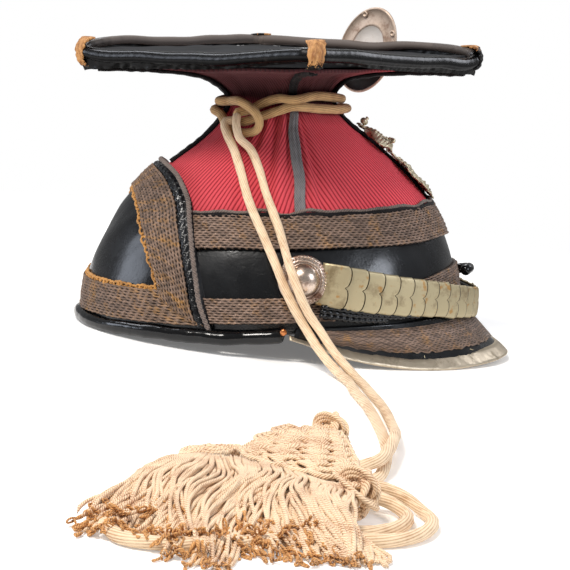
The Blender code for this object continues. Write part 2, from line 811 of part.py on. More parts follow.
def build_chin_strap():
    """The leather under the scales, one length from boss to boss round the front."""
    total = chain_length()

    def place(u, v):
        distance = STRAP_START + 2 * (total - STRAP_START) * u
        at, forward, up, out = chain_frame(distance, 1)
        share = abs(2 * u - 1)
        tall = SCALE_TALL[1] - 3.6 + (SCALE_TALL[0] - SCALE_TALL[1]) * share
        return at + up * (v - 0.5) * tall - out * STRAP_IN

    thicken(sheet("chin_strap", dark_leather, 36, 1, place), STRAP_THICK)


def build_strap_keeper():
    x, y, z = 106.5, 9.0, 21.0
    points = [(x - 1, y + 2, z), (x + 4, y - 4, z + 1.5), (x + 3, y - 14, z + 2.5), (x - 2, y - 21, z + 2)]
    tube("strap_keeper", dark_leather, smooth_route(points, 4), 3.2)


def build_front_plate():
    def place(u, v):
        run = PLATE[0][0] + (PLATE[-1][0] - PLATE[0][0]) * v
        width = float(along(PLATE, run)[0]) * (2 * u - 1)
        half, roundness = along(BODY, run)[3:]
        angle = math.degrees(math.asin(min(1, (abs(width) / half) ** (roundness / 2))))
        return body_point(math.copysign(angle, width), run, PLATE_OUT)

    thicken(sheet("front_plate", old_silver, 6, 12, place), PLATE_THICK)


def build_cockade():
    wide, tall = COCKADE_SIZE
    bm = bmesh.new()
    bmesh.ops.create_cone(
        bm, cap_ends=True, segments=24, radius1=0.5, radius2=0.5, depth=COCKADE_THICK * MM
    )
    stretch = Matrix.Diagonal((wide * MM, tall * MM, 1, 1))
    bmesh.ops.transform(bm, matrix=stretch, verts=bm.verts)
    cockade = add("cockade", mesh_of(bm, "cockade"), silver)
    stand = Matrix(((-1, 0, 1), (1, 0, 1), (0, math.sqrt(2), 0))).normalized().to_4x4()
    turn = Matrix.Rotation(math.radians(COCKADE_TURN), 4, "Z")
    cockade.matrix_local = Matrix.Translation(Vector(COCKADE_PLACE) * MM) @ stand @ turn


def cord(name, route):
    tube(name, cream, smooth_route(route, 6.5), CORD_RADIUS, on_cap=False)


def build_cords():
    """One cap line: its turns round the waist, and the two strands that run on from their ends."""
    rest = rest_matrix()

    def on_cap(rows):
        return [rest @ (body_point(*row) * MM) / MM for row in rows]

    cord("cap_line_waist", on_cap(WAIST_ROUTE))
    cord("cap_line_a", on_cap(STRAND_A_ON_CAP) + list(STRAND_A_BELOW))
    cord("cap_line_b", on_cap(STRAND_B_ON_CAP) + list(STRAND_B_BELOW))


def build_heaps():
    """The outer forms of the two plaited flounders and of their fringes."""
    for name, thickness, dome, corners in HEAPS:
        root_left, root_right, tip_right, tip_left = (Vector(corner) for corner in corners)

        def place(u, v, dome=dome, ends=(root_left, root_right, tip_right, tip_left)):
            a, b = 2 * u - 1, 2 * v - 1
            u = 0.5 + 0.5 * a * math.sqrt(1 - HEAP_ROUNDING * b * b)
            v = 0.5 + 0.5 * b * math.sqrt(1 - HEAP_ROUNDING * a * a)
            at = ends[0].lerp(ends[1], u).lerp(ends[3].lerp(ends[2], u), v)
            return at + Vector((0, 0, dome * (1 - a * a) * (1 - b * b)))

        thicken(sheet(name, cream, 8, 8, place, on_cap=False), thickness)


def rest_matrix():
    """Pitches the cap back until the rim's rear and the edge of the peak stand on height 0."""
    rear = rim_point(180) - Vector((0, 0, RIM_RADIUS))
    fronts = [peak_edge(angle) - Vector((0, 0, PEAK_TRIM_RADIUS)) for angle in range(0, 80, 2)]
    pitch = max(math.atan2(rear.z - front.z, front.x - rear.x) for front in fronts)
    turn = Matrix.Rotation(-pitch, 4, "Y")
    drop = min((turn @ front).z for front in fronts)
    return Matrix.Translation((REST_X * MM, 0, -drop * MM)) @ turn


for old in list(bpy.data.objects):
    bpy.data.objects.remove(old)
collection = bpy.data.collections.new("czapka")
bpy.context.scene.collection.children.link(collection)
cap = bpy.data.objects.new("cap", None)
collection.objects.link(cap)

patent = material("patent leather", (0.012, 0.012, 0.014), 0.2)
dark_leather = material("black leather", (0.03, 0.027, 0.025), 0.45)
tan_leather = material("tan leather", (0.5, 0.27, 0.12), 0.7)
red_cloth = material("red cloth", (0.5, 0.03, 0.045), 0.9)
lace = material("tarnished lace", (0.17, 0.12, 0.08), 0.6, 0.3)
braid_tape = material("grey tape", (0.15, 0.14, 0.14), 0.7)
brass = material("pale brass", (0.5, 0.44, 0.26), 0.4, 1)
nickel = material("nickel silver", (0.55, 0.48, 0.36), 0.35, 1)
silver = material("worn silver", (0.6, 0.52, 0.46), 0.35, 1)
old_silver = material("aged silver", (0.3, 0.24, 0.16), 0.45, 1)
cream = material("cream cord", (0.85, 0.68, 0.47), 0.8)

build_skull()
build_cloth_cover()
build_rear_guard()
build_guard_lace()
build_bands()
build_rim_binding()
build_peak()
build_board()
build_board_roll()
build_corner_wraps()
build_seam_braids()
build_bosses()
build_front_scales(build_chin_scales())
build_chin_strap()
build_strap_keeper()
build_front_plate()
build_cockade()
build_cords()
build_heaps()
cap.matrix_world = rest_matrix()
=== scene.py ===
# %% [markdown]
# # A lancer's czapka, shown worn and tarnished
# The cap has a leather skull, a ribbed red cloth pulled in at a narrow waist, and a square board
# on top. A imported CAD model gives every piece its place. This script keeps those places and
# builds each piece again with the detail that the eye expects: weave, stitches, plaits, dents.
# It works in millimetres in the cap's own level frame, and one function takes a finished point
# to where the cap rests. Front is +X, the wearer's left is +Y, and up is +Z.

# %% Load the frame
import math

import bmesh
import bpy
import numpy as np
from mathutils import Matrix, Vector


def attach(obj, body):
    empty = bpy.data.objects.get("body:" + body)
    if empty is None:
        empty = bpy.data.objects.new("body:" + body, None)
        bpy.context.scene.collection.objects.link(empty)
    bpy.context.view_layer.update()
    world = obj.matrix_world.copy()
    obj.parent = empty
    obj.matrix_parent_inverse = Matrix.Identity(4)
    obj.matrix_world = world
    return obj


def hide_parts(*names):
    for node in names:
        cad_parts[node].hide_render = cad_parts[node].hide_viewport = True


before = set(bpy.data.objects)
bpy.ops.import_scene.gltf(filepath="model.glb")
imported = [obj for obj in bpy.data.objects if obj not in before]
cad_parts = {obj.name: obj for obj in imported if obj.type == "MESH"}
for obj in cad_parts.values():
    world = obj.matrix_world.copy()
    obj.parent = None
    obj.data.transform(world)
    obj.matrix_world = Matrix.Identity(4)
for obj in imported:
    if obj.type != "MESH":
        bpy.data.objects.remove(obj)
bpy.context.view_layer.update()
MM = 0.001
print("CAD nodes:", len(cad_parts))

# %% [markdown]
# ## The shape of the cap
# Nearly every piece wraps the same body: a bell over the head, a waist, and a flare up to the
# board. One table describes it by run, the distance up the surface from the rim. A roundness of
# 2 makes the section an oval, and 1 makes it a diamond. Laces, cloth and cords are then placed
# by angle, run and distance out, so that they lie on the body however it curves. Modelling each
# piece by hand would look the same, but nothing would fit the moment one size changed.

# %% The body's sizes
BODY = (
    # run, height, rear, front, half_width, roundness
    (0, 0.0, 115.0, 102.0, 86.0, 2.0),
    (20, 20.0, 112.0, 100.0, 84.0, 2.0),
    (41, 40.0, 104.5, 95.5, 77.5, 2.0),
    (63, 60.0, 93.0, 86.8, 66.5, 2.0),
    (83, 75.0, 81.0, 75.5, 57.0, 1.95),
    (101, 88.0, 66.0, 62.5, 49.0, 1.9),
    (119, 101.0, 48.5, 47.5, 41.0, 1.8),
    (131, 110.0, 39.5, 36.5, 35.5, 1.7),
    (141, 118.0, 34.0, 29.8, 31.5, 1.6),
    (147, 123.5, 32.0, 27.4, 29.8, 1.5),
    (153, 129.5, 35.0, 29.2, 32.0, 1.4),
    (160, 135.0, 42.3, 35.3, 39.0, 1.25),
    (172, 138.5, 53.0, 50.0, 52.0, 1.1),
    (190, 140.2, 70.0, 70.0, 70.0, 1.03),
    (238, 141.0, 112.6, 109.8, 111.2, 1.0),
)
WAIST_RUN, BOARD_RUN = 147, 238
BOARD_TOP, BOARD_REACH, BOARD_CENTRE_X = 151.8, 110.6, -1.4
BOARD_FALL, BOARD_LEAN, BOARD_HOLLOW = 3.0, 1.8, 0.02
SAGS = ((-58, -58, 3.4, 42), (60, -56, 1.5, 42))  # x, y, depth and width of each sag of the board
FLARE_DEPTH, TIP_DROOPS = 6.7, (3.6, 5.0)
ROLL_REACH = 116.6

# %% Points on the body


def along(table, station):
    """Each column of a table at the stations between its rows, on a smooth curve."""
    rows = np.array(table, float)
    slopes = np.gradient(rows, rows[:, 0], axis=0)
    at = np.asarray(station, float)
    i = np.clip(np.searchsorted(rows[:, 0], at) - 1, 0, len(rows) - 2)
    span = (rows[i + 1, 0] - rows[i, 0])[..., None]
    t = np.clip((at - rows[i, 0])[..., None] / span, 0, 1)
    start = (1 + 2 * t) * (1 - t) ** 2 * rows[i] + t * (1 - t) ** 2 * span * slopes[i]
    end = t * t * (3 - 2 * t) * rows[i + 1] - t * t * (1 - t) * span * slopes[i + 1]
    return (start + end)[..., 1:]


def unit(vectors):
    return vectors / np.maximum(np.linalg.norm(vectors, axis=-1, keepdims=True), 1e-9)


def distances(line):
    """How far along a line of points each of them is."""
    return np.concatenate([[0], np.cumsum(np.linalg.norm(np.diff(line, axis=0), axis=1))])


def board_top(x, y):
    """The height of the board's top, with its tilt and its two sagging edges."""
    height = BOARD_TOP - BOARD_FALL * x / ROLL_REACH + BOARD_LEAN * y / ROLL_REACH
    for at_x, at_y, depth, width in SAGS:
        height = height - depth * np.exp(-((x - at_x) ** 2 + (y - at_y) ** 2) / (2 * width**2))
    return height


def body_outline(angle, run):
    height, rear, front, half, roundness = np.moveaxis(along(BODY, run), -1, 0)
    c, s = np.cos(np.radians(angle)), np.sin(np.radians(angle))
    x = np.sign(c) * np.abs(c) ** (2 / roundness) * np.where(c > 0, front, rear)
    y = np.sign(s) * np.abs(s) ** (2 / roundness) * half
    return x, y, height


def flare_edge(x, y):
    """The height of the cloth's underside below a place on the board's edge."""
    toward_tip = (np.abs(x) / (np.abs(x) + np.abs(y))) ** 4
    return board_top(x, y) - FLARE_DEPTH - np.where(x > 0, *TIP_DROOPS) * toward_tip


def bare_point(angle, run):
    x, y, height = body_outline(angle, run)
    edge_x, edge_y, level = body_outline(angle, np.full_like(x, BOARD_RUN))
    t = np.clip((run - WAIST_RUN) / (BOARD_RUN - WAIST_RUN), 0, 1)
    height = height + t * t * (3 - 2 * t) * (flare_edge(edge_x, edge_y) - level)
    return np.stack([x, y, height], axis=-1)


def body_point(angle, run, out=0.0):
    """Points on the cap's outer surface, moved out along its normal."""
    angle, run, out = (np.asarray(a, float) for a in np.broadcast_arrays(angle, run, out))
    round_it = bare_point(angle + 0.2, run) - bare_point(angle - 0.2, run)
    above, below = np.minimum(run + 0.5, BOARD_RUN), np.maximum(run - 0.5, 0)
    up_it = bare_point(angle, above) - bare_point(angle, below)
    return bare_point(angle, run) + unit(np.cross(round_it, up_it)) * out[..., None]


print("the waist is", 2 * BODY[9][4], "mm across, and the rim", 2 * BODY[0][4], "mm")

# %% [markdown]
# ## How the cap rests
# The cap stands on the rear of its rolled rim and on the edge of its drooping peak, so it is
# pitched back by a few degrees. The pitch comes from the two things that touch: the lowest point
# of the rim's roll, and each point of the peak's metal edge. The largest angle between them is
# the one at which the cap stops tipping.

# %% The rim, the peak's edge and the pitch
RIM_RADIUS, RIM_HEIGHTS, RIM_END, GUARD_FOOT = 3.5, (2.6, 0.6), 96, 73
GUARD_OUT, GAP = 3.7, 0.4
PEAK_CENTRE_X, PEAK_REACH, PEAK_HALF, PEAK_THICK = -8.0, 137.0, 89.5, 2.4
PEAK_DROP = (
    # angle, drop of the peak's edge
    (0, 24.2),
    (20, 23.0),
    (40, 22.0),
    (50, 21.2),
    (60, 18.8),
    (70, 14.6),
    (80, 8.2),
    (92, -1.0),
)
PEAK_ROOT_OUT, PEAK_ROOT_RUNS, PEAK_ARCH, PEAK_END = 2.9, (3.6, 5.0), 0.2, 91
PEAK_TRIM_RADIUS = 2.4
REST_X = 1.6


def rim_point(angle):
    """The centre of the rim's roll, which steps out where it passes the guard."""
    from_rear = np.abs(angle - 180)
    side = np.minimum(from_rear / 84, 1)
    over_guard = np.clip((GUARD_FOOT - from_rear) / 5, 0, 1)
    at = bare_point(angle, np.zeros_like(angle, float))
    at[..., 2] = 0
    at = at + unit(at) * (GUARD_OUT * over_guard + RIM_RADIUS + GAP)[..., None]
    at[..., 2] = RIM_HEIGHTS[0] + (RIM_HEIGHTS[1] - RIM_HEIGHTS[0]) * side
    return at


def bare_peak_point(angle, v):
    c, s = np.cos(np.radians(angle)), np.sin(np.radians(angle))
    drop = along(PEAK_DROP, np.abs(angle))[..., 0]
    outer = np.stack([PEAK_CENTRE_X + PEAK_REACH * c, PEAK_HALF * s, -drop], axis=-1)
    front_run, side_run = PEAK_ROOT_RUNS
    root_run = front_run + (side_run - front_run) * np.minimum(np.abs(angle) / 60, 1)
    root = body_point(angle * 1.03, root_run, PEAK_ROOT_OUT)
    at = root + (outer - root) * np.asarray(v)[..., None]
    at[..., 2] += PEAK_ARCH * np.sin(math.pi * v)
    return at


def peak_point(angle, v, lift=0.0):
    """On the peak: v runs from the rim at 0 to the outer edge at 1. Lift is along its normal."""
    angle, v, lift = (np.asarray(a, float) for a in np.broadcast_arrays(angle, v, lift))
    round_it = bare_peak_point(angle + 0.5, v) - bare_peak_point(angle - 0.5, v)
    outward = bare_peak_point(angle, v + 0.01) - bare_peak_point(angle, v - 0.01)
    return bare_peak_point(angle, v) + unit(np.cross(outward, round_it)) * lift[..., None]


def peak_edge(angle):
    """The centre of the peak's metal edge."""
    one = np.ones_like(angle, float)
    round_it = bare_peak_point(angle + 0.5, one) - bare_peak_point(angle - 0.5, one)
    level = np.stack([round_it[..., 1], -round_it[..., 0], 0 * one], axis=-1)
    return bare_peak_point(angle, one) + unit(level) * (PEAK_TRIM_RADIUS + GAP)


def rest_matrix():
    """Pitches the cap back until the rim's rear and the edge of the peak stand on the floor."""
    rear = rim_point(np.array([180.0]))[0] - [0, 0, RIM_RADIUS]
    fronts = peak_edge(np.arange(0.0, 80, 2)) - [0, 0, PEAK_TRIM_RADIUS]
    pitch = np.arctan2(rear[2] - fronts[:, 2], fronts[:, 0] - rear[0]).max()
    turn = Matrix.Rotation(-pitch, 4, "Y")
    drop = min((turn @ Vector(front)).z for front in fronts)
    return Matrix.Translation((REST_X * MM, 0, -drop * MM)) @ turn


REST = rest_matrix()
TURN, SHIFT = np.array(REST.to_3x3()), np.array(REST.translation)


def rested(points):
    """From millimetres in the level cap to metres where it rests."""
    return np.asarray(points) @ TURN.T * MM + SHIFT


print("pitch:", round(math.degrees(math.asin(TURN[2, 0])), 2), "degrees")

# %% [markdown]
# ## Grids, tubes and unevenness
# Cloth, leather and lace are sheets, and cords and rolled edges are tubes. Both start from
# Blender's own grid, whose points are then moved to where the sheet or tube runs. Each gets a UV
# map measured in millimetres along its surface, so that a weave keeps its size wherever the
# piece bends. A sheet can get a wall from a Solidify modifier. A lace is closed with a plain
# back instead, because a second copy of its weave would never be seen.

# %% The grid helper


def measured(points):
    """How far each point of a grid of points lies along its row and up its column."""
    across = np.linalg.norm(np.diff(points, axis=1), axis=-1)
    up = np.linalg.norm(np.diff(points, axis=0), axis=-1)
    s = np.concatenate([np.zeros((len(points), 1)), np.cumsum(across, axis=1)], axis=1)
    t = np.concatenate([np.zeros((1, points.shape[1])), np.cumsum(up, axis=0)], axis=0)
    return s, t


def grid_mesh(bm, columns, rows, place, uv_layer):
    """Adds a grid to a bmesh and moves its points. place(u, v) gives points and the UV in mm."""
    made = bmesh.ops.create_grid(bm, x_segments=columns, y_segments=rows, size=0.5)["verts"]
    flat = np.array([vert.co[:2] for vert in made]).reshape(rows + 1, columns + 1, 2) + 0.5
    points, uv = place(flat[..., 0], flat[..., 1])
    for vert, point in zip(made, points.reshape(-1, 3)):
        vert.co = point
    spots = {vert: spot for vert, spot in zip(made, uv.reshape(-1, 2))}
    for face in {face for vert in made for face in vert.link_faces}:
        for loop in face.loops:
            loop[uv_layer].uv = spots[loop.vert]
    return made


def show(name, bm, finish, replaces=(), smooth=True):
    """Puts a finished bmesh in the scene as one piece that rides on the cap."""
    mesh = bpy.data.meshes.new(name)
    bm.to_mesh(mesh)
    bm.free()
    if smooth:
        mesh.shade_smooth()
    finishes = finish if isinstance(finish, (list, tuple)) else [finish]
    for one in finishes:
        mesh.materials.append(one)
    piece = bpy.data.objects.new(name, mesh)
    bpy.context.scene.collection.objects.link(piece)
    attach(piece, "root")
    if replaces:
        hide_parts(*replaces)
    print(f"{name}: {sum(len(face.vertices) - 2 for face in mesh.polygons)} triangles")
    return piece


def sheet_mesh(columns, rows, place, relief=None, back=None, uv=None):
    """A sheet over (u, v) from 0 to 1. place(u, v, out) says where, in the level cap's mm.
    relief(s, t, u, v) raises it, where s and t are mm along it. back closes it that far behind."""
    bm = bmesh.new()
    layer = bm.loops.layers.uv.new("UVMap")
    extra = 3 if back else 0

    def settle(u, v):
        behind = np.zeros_like(u)
        if back:
            step = np.round(v * (rows + extra))
            v = np.clip((step - 1) / rows, 0, 1) * (step < rows + extra)
            behind = back * ((step == 0) | (step > rows + 1))
        base = place(u, v, np.zeros_like(u))
        s, t = measured(base)
        out = relief(s, t, u, v) * (behind == 0) if relief else 0
        points = place(u, v, out - behind) if relief or back else base
        return rested(points), np.stack(uv(u, v, points) if uv else (s, t), axis=-1)

    grid_mesh(bm, columns, rows + extra, settle, layer)
    bmesh.ops.remove_doubles(bm, verts=bm.verts, dist=1e-7)
    if back:
        bmesh.ops.holes_fill(bm, edges=[e for e in bm.edges if e.is_boundary], sides=0)
    return bm


def walled(piece, thickness, inner=0):
    """Gives an open sheet its wall. The inner side can wear the piece's second finish."""
    wall = piece.modifiers.new("wall", "SOLIDIFY")
    wall.thickness, wall.material_offset = thickness * MM, inner


# %% The tube helper


def smooth_route(route, spacing):
    """Points a spacing apart on a smooth curve through the route's own points."""
    rows = [(i, *point) for i, point in enumerate(route)]
    fine = along(rows, np.linspace(0, len(route) - 1, 40 * len(route)))
    steps = distances(fine)
    count = round(steps[-1] / spacing) + 1
    at = np.linspace(0, steps[-1], count)
    return np.stack([np.interp(at, steps, fine[:, axis]) for axis in range(3)], axis=1)


def travelling_axes(line, ring=False):
    """Two axes across a line at each of its points, carried along it without twisting."""
    ahead = unit(np.roll(line, -1, 0) - np.roll(line, 1, 0) if ring else np.gradient(line, axis=0))
    side = np.zeros_like(line)
    start = np.array([0, 0, 1.0]) if abs(ahead[0][2]) < 0.9 else np.array([1.0, 0, 0])
    side[0] = unit(start - ahead[0] * (start @ ahead[0]))
    for i in range(1, len(line)):
        side[i] = unit(side[i - 1] - ahead[i] * (side[i - 1] @ ahead[i]))
    return side, np.cross(ahead, side)


def tube_mesh(bm, line, radius, sides=10, ring=False, world=False, flat=1.0):
    """A tube along a line of points. radius is a number, or radius(turn, s) for each point, with
    turn in radians round it and s in mm along it. An open tube ends in two rounded tips."""
    layer = bm.loops.layers.uv.verify()
    line = np.asarray(line, float)
    side, rise = travelling_axes(line, ring)
    if ring:
        line, side, rise = (np.concatenate([a, a[:1]]) for a in (line, side, rise))
    steps = distances(line)

    def settle(u, v):
        i = np.round(v * (len(line) - 1)).astype(int)
        turn, s = u * 2 * math.pi, steps[i]
        size = radius(turn, s) if callable(radius) else np.full_like(s, radius)
        girth = 2 * math.pi * size.mean()
        if not ring:
            tip = np.minimum(np.minimum(s, steps[-1] - s) / size.mean(), 1)
            size = size * np.sqrt(np.maximum(1 - (1 - tip) ** 2, 0))
        ring_at = side[i] * np.cos(turn)[..., None] + rise[i] * (flat * np.sin(turn))[..., None]
        points = line[i] + ring_at * size[..., None]
        return points * MM if world else rested(points), np.stack([u * girth, s], axis=-1)

    made = grid_mesh(bm, sides, len(line) - 1, settle, layer)
    bmesh.ops.remove_doubles(bm, verts=made, dist=1e-7)
    return steps[-1]


def unevenness(where, wavelength, seed, waves=7):
    """Smooth seeded noise, mostly from -1 to 1, at points given in the last axis."""
    dice = np.random.default_rng(seed)
    where = np.asarray(where, float)
    total = np.zeros(where.shape[:-1])
    for _ in range(waves):
        heading = unit(dice.normal(size=where.shape[-1])) * 2 * math.pi / wavelength
        total += np.sin(where @ (heading * dice.uniform(0.5, 1.7)) + dice.uniform(0, 2 * math.pi))
    return total / math.sqrt(waves)


def stacked(*arrays):
    return np.stack(np.broadcast_arrays(*arrays), axis=-1)


# %% [markdown]
# ## Finishes
# Each finish starts from what the real material is. Colours are written as sRGB hex, as a colour
# picker shows them, and one function turns them to the linear values that Blender mixes. One
# small function adds a node with its settings and its links, and every finish is built with it.
# Patterns read either the piece's UV map in millimetres, or its place in metres.

# %% The node helper


def srgb(code):
    """An sRGB hex colour as linear red, green, blue and alpha."""
    parts = [int(code[i : i + 2], 16) / 255 for i in (1, 3, 5)]
    return (*[p / 12.92 if p <= 0.04045 else ((p + 0.055) / 1.055) ** 2.4 for p in parts], 1.0)


def node(tree, kind, inputs=None, stops=(), **settings):
    """Adds a node with its settings. Each input, by name or number, is set, or is linked from a
    socket or from another node's first output. Stops are a colour ramp's places and colours."""
    made = tree.nodes.new("ShaderNode" + kind)
    for key, value in settings.items():
        setattr(made, key, value)
    for key, value in (inputs or {}).items():
        if isinstance(value, bpy.types.Node):
            value = next(output for output in value.outputs if output.enabled)
        if isinstance(value, bpy.types.NodeSocket):
            tree.links.new(value, made.inputs[key])
        else:
            made.inputs[key].default_value = value
    while stops and len(made.color_ramp.elements) < len(stops):
        made.color_ramp.elements.new(0.5)
    for i, (position, code) in enumerate(stops):
        made.color_ramp.elements[i].position = position
        made.color_ramp.elements[i].color = srgb(code)
    return made


def new_finish(name, **sockets):
    """A material, its nodes and its shader, with constants set on the shader's own sockets."""
    material = bpy.data.materials.new(name)
    material.use_nodes = True
    shader = material.node_tree.nodes["Principled BSDF"]
    for key, value in sockets.items():
        shader.inputs[key.replace("_", " ")].default_value = value
    return material, material.node_tree, shader


def dress(tree, shader, **sockets):
    """Links the shader's sockets to the nodes that drive them."""
    for key, made in sockets.items():
        output = next(output for output in made.outputs if output.enabled)
        tree.links.new(output, shader.inputs[key.replace("_", " ")])


def ridges(tree, place, pitch):
    """A pattern of rounded ridges, a pitch apart along a place: 0 in the grooves, 1 on top."""
    turns = node(tree, "Math", {0: place, 1: math.pi / pitch}, operation="MULTIPLY")
    wave = node(tree, "Math", {0: turns}, operation="SINE")
    return node(tree, "Math", {0: wave}, operation="ABSOLUTE")


# %% [markdown]
# ### Patent leather
# Patent leather is calf leather under coats of black linseed varnish. When new it is a black
# mirror. With age the varnish clouds to a bluish grey bloom, cracks very finely, and picks up
# rubbed and scratched places. So the finish is a dark, fairly sharp gloss, whose roughness
# changes from place to place, under a thin clear coat.

# %% Patent leather


def patent_finish(name, deep, bloom, gloss, worn, coat=0.12, level=0.34):
    """Varnished leather. Gloss is its smoothest roughness, and worn how much it varies."""
    material, tree, shader = new_finish(
        name, IOR=1.5, Specular_IOR_Level=level, Coat_Weight=coat, Coat_Roughness=0.1
    )
    at = node(tree, "TexCoord").outputs["Object"]
    # Clouds of bloom about 35 mm across, and grain about 1.2 mm across.
    clouds = node(tree, "TexNoise", {"Vector": at, "Scale": 28, "Detail": 4, "Roughness": 0.6})
    grain = node(tree, "TexNoise", {"Vector": at, "Scale": 800, "Detail": 3})
    # Fine scratches: noise drawn out along one direction.
    stretch = {0: at, "Rotation": (0.3, 0.5, 0.9), "Scale": (60, 900, 900)}
    drawn = node(tree, "Mapping", stretch)
    scratch = node(tree, "TexNoise", {"Vector": drawn, "Scale": 1.0, "Detail": 2, "Distortion": 0.4})
    marks = node(tree, "MapRange", {0: scratch, 1: 0.66, 2: 0.74, 3: 0.0, 4: 1.0})
    colour = node(tree, "ValToRGB", {0: clouds}, stops=((0.35, deep), (0.75, bloom)))
    rough = node(tree, "MapRange", {0: clouds, 1: 0.3, 2: 0.75, 3: gloss, 4: gloss + worn})
    rougher = node(tree, "Math", {0: marks, 1: 0.18, 2: rough}, operation="MULTIPLY_ADD")
    low = node(tree, "Bump", {"Height": clouds, "Distance": 0.0012, "Strength": 0.25})
    fine = node(tree, "Bump", {"Height": grain, "Distance": 0.00012, "Strength": 0.5, "Normal": low})
    dress(tree, shader, Base_Color=colour, Roughness=rougher, Normal=fine)
    return material


PATENT = patent_finish("patent_leather_varnished", "#050608", "#0f1115", 0.17, 0.2)
RIM_PATENT = patent_finish("patent_leather_creased", "#050506", "#0d0e11", 0.12, 0.14)
BOARD_PATENT = patent_finish(
    "patent_leather_dulled", "#1b1c1e", "#37383b", 0.6, 0.2, coat=0.0, level=0.06
)

# %% [markdown]
# ### Plain leather
# The rolled edges of the board are blackened leather. Wear shows brown where the dye has gone,
# which is on the side that faces the wearer's left, and grease leaves the other side shiny. The
# finish changes from one to the other across the cap. The corner wraps have lost their dye
# altogether, so they are tan, with dark dirt in the creases.

# %% Plain leather


def leather_finish(name, dark, light, gloss, matte, across=None, drawn=1.0, level=0.4, grainy=0.35):
    """Drawn stretches the patches upwards, as where leather is bent round an edge."""
    material, tree, shader = new_finish(name, IOR=1.48)
    at = node(tree, "TexCoord").outputs["Object"]
    bent = node(tree, "Mapping", {"Vector": at, "Scale": (drawn, drawn, 1.0)})
    patches = node(tree, "TexNoise", {"Vector": bent, "Scale": 110, "Detail": 5, "Roughness": 0.65})
    grain = node(tree, "TexVoronoi", {"Vector": at, "Scale": 1100})
    share = patches
    if across:
        # From the glossy side at the wearer's right to the dull one at the left.
        y = node(tree, "SeparateXYZ", {0: at}).outputs["Y"]
        side = node(tree, "MapRange", {0: y, 1: across[0], 2: across[1], 3: -0.35, 4: 0.4})
        share = node(tree, "Math", {0: patches, 1: side}, operation="ADD", use_clamp=True)
    colour = node(tree, "ValToRGB", {0: share}, stops=((0.3, dark), (0.75, light)))
    rough = node(tree, "MapRange", {0: share, 1: 0.25, 2: 0.75, 3: gloss, 4: matte})
    low = node(tree, "Bump", {"Height": patches, "Distance": 0.0008, "Strength": 1.4 * grainy})
    skin = node(
        tree, "Bump", {"Height": grain, "Distance": 0.0002, "Strength": grainy, "Normal": low}
    )
    # Faces that look down get little specular reflection, so undersides stay dark: painted shade.
    normal = node(tree, "NewGeometry").outputs["Normal"]
    facing_up = node(tree, "SeparateXYZ", {0: normal}).outputs["Z"]
    shine = node(tree, "MapRange", {0: facing_up, 1: -0.6, 2: 0.2, 3: 0.03, 4: level})
    dress(tree, shader, Base_Color=colour, Roughness=rough, Normal=skin, Specular_IOR_Level=shine)
    return material


ROLL_LEATHER = leather_finish(
    "calf_leather_rolled", "#050506", "#5f5651", 0.27, 0.68,
    across=(-0.01, 0.03), level=0.42, grainy=0.04,
)  # fmt: skip
BLACK_LEATHER = leather_finish("calf_leather_blackened", "#0a0a0b", "#2a2624", 0.3, 0.55)
LIP_LEATHER = leather_finish("calf_leather_creased", "#030303", "#0a0909", 0.35, 0.5, grainy=0.1)
TAN_LEATHER = leather_finish("calf_leather_worn_bare", "#6e3d1c", "#e3ad72", 0.5, 0.8, drawn=4.0)
INNER_LEATHER = leather_finish("calf_leather_flesh_side", "#3b2b20", "#6d533d", 0.7, 0.9)

# %% [markdown]
# ### Ribbed red cloth
# The cloth is fulled wool laid in fine ribs. Light catches the nap on top of each rib, and the
# grooves stay dark. The ribs are too many to model one by one, so the finish draws them from the
# UV map: its first number counts millimetres across the ribs. Folds and pleats are real shape.

# %% Ribbed red cloth
RIB_PITCH = 2.8  # mm, from rib to rib


def red_cloth_finish():
    material, tree, shader = new_finish(
        "wool_cloth_fulled_ribbed", Roughness=0.95, Sheen_Weight=0.12, Sheen_Roughness=0.5
    )
    shader.inputs["Sheen Tint"].default_value = srgb("#e0707a")
    coords = node(tree, "TexCoord")
    at, laid = coords.outputs["Object"], coords.outputs["UV"]
    wander = node(tree, "TexNoise", {"Vector": at, "Scale": 60, "Detail": 2})
    across = node(tree, "SeparateXYZ", {0: laid}).outputs["X"]
    moved = node(tree, "Math", {0: wander, 1: 0.9, 2: across}, operation="MULTIPLY_ADD")
    rib = node(tree, "Math", {0: ridges(tree, moved, RIB_PITCH), 1: 0.75}, operation="POWER")
    nap = node(tree, "TexNoise", {"Vector": at, "Scale": 1500, "Detail": 4, "Roughness": 0.7})
    worn = node(tree, "TexNoise", {"Vector": at, "Scale": 45, "Detail": 5, "Roughness": 0.6})
    # Painted light and shade: the colour is lighter on the rib tops and darker in the grooves.
    lit = node(tree, "Math", {0: nap, 1: 0.35, 2: rib}, operation="MULTIPLY_ADD")
    shade = node(
        tree, "ValToRGB", {0: lit}, stops=((0.42, "#7a1320"), (0.72, "#b62a37"), (1.0, "#d04953"))
    )
    faded = node(tree, "MapRange", {0: worn, 1: 0.45, 2: 0.75, 3: 0.0, 4: 0.25})
    colour = node(tree, "Mix", {0: faded, 6: shade, 7: srgb("#bd4a50")}, data_type="RGBA")
    # Painted light and shade: the front of the cloth is painted brighter, and under the board the
    # colour is painted darker, darkest towards the rear.
    split = node(tree, "SeparateXYZ", {0: at})
    bright = node(tree, "MapRange", {0: split.outputs["X"], 1: 0.0, 2: 0.03, 3: 1.0, 4: 1.45})
    black = node(tree, "MapRange", {0: split.outputs["X"], 1: 0.012, 2: 0.042, 3: 0.08, 4: 0.65})
    painted_under_board_shade = node(tree, "MapRange", {0: split.outputs["Z"], 1: 0.126, 2: 0.138, 3: bright, 4: black})
    colour = node(tree, "HueSaturation", {"Value": painted_under_board_shade, "Color": colour})
    ribs = node(tree, "Bump", {"Height": rib, "Distance": 0.0008, "Strength": 0.45})
    fluff = node(tree, "Bump", {"Height": nap, "Distance": 0.0003, "Strength": 0.6, "Normal": ribs})
    dress(tree, shader, Base_Color=colour, Normal=fluff)
    return material


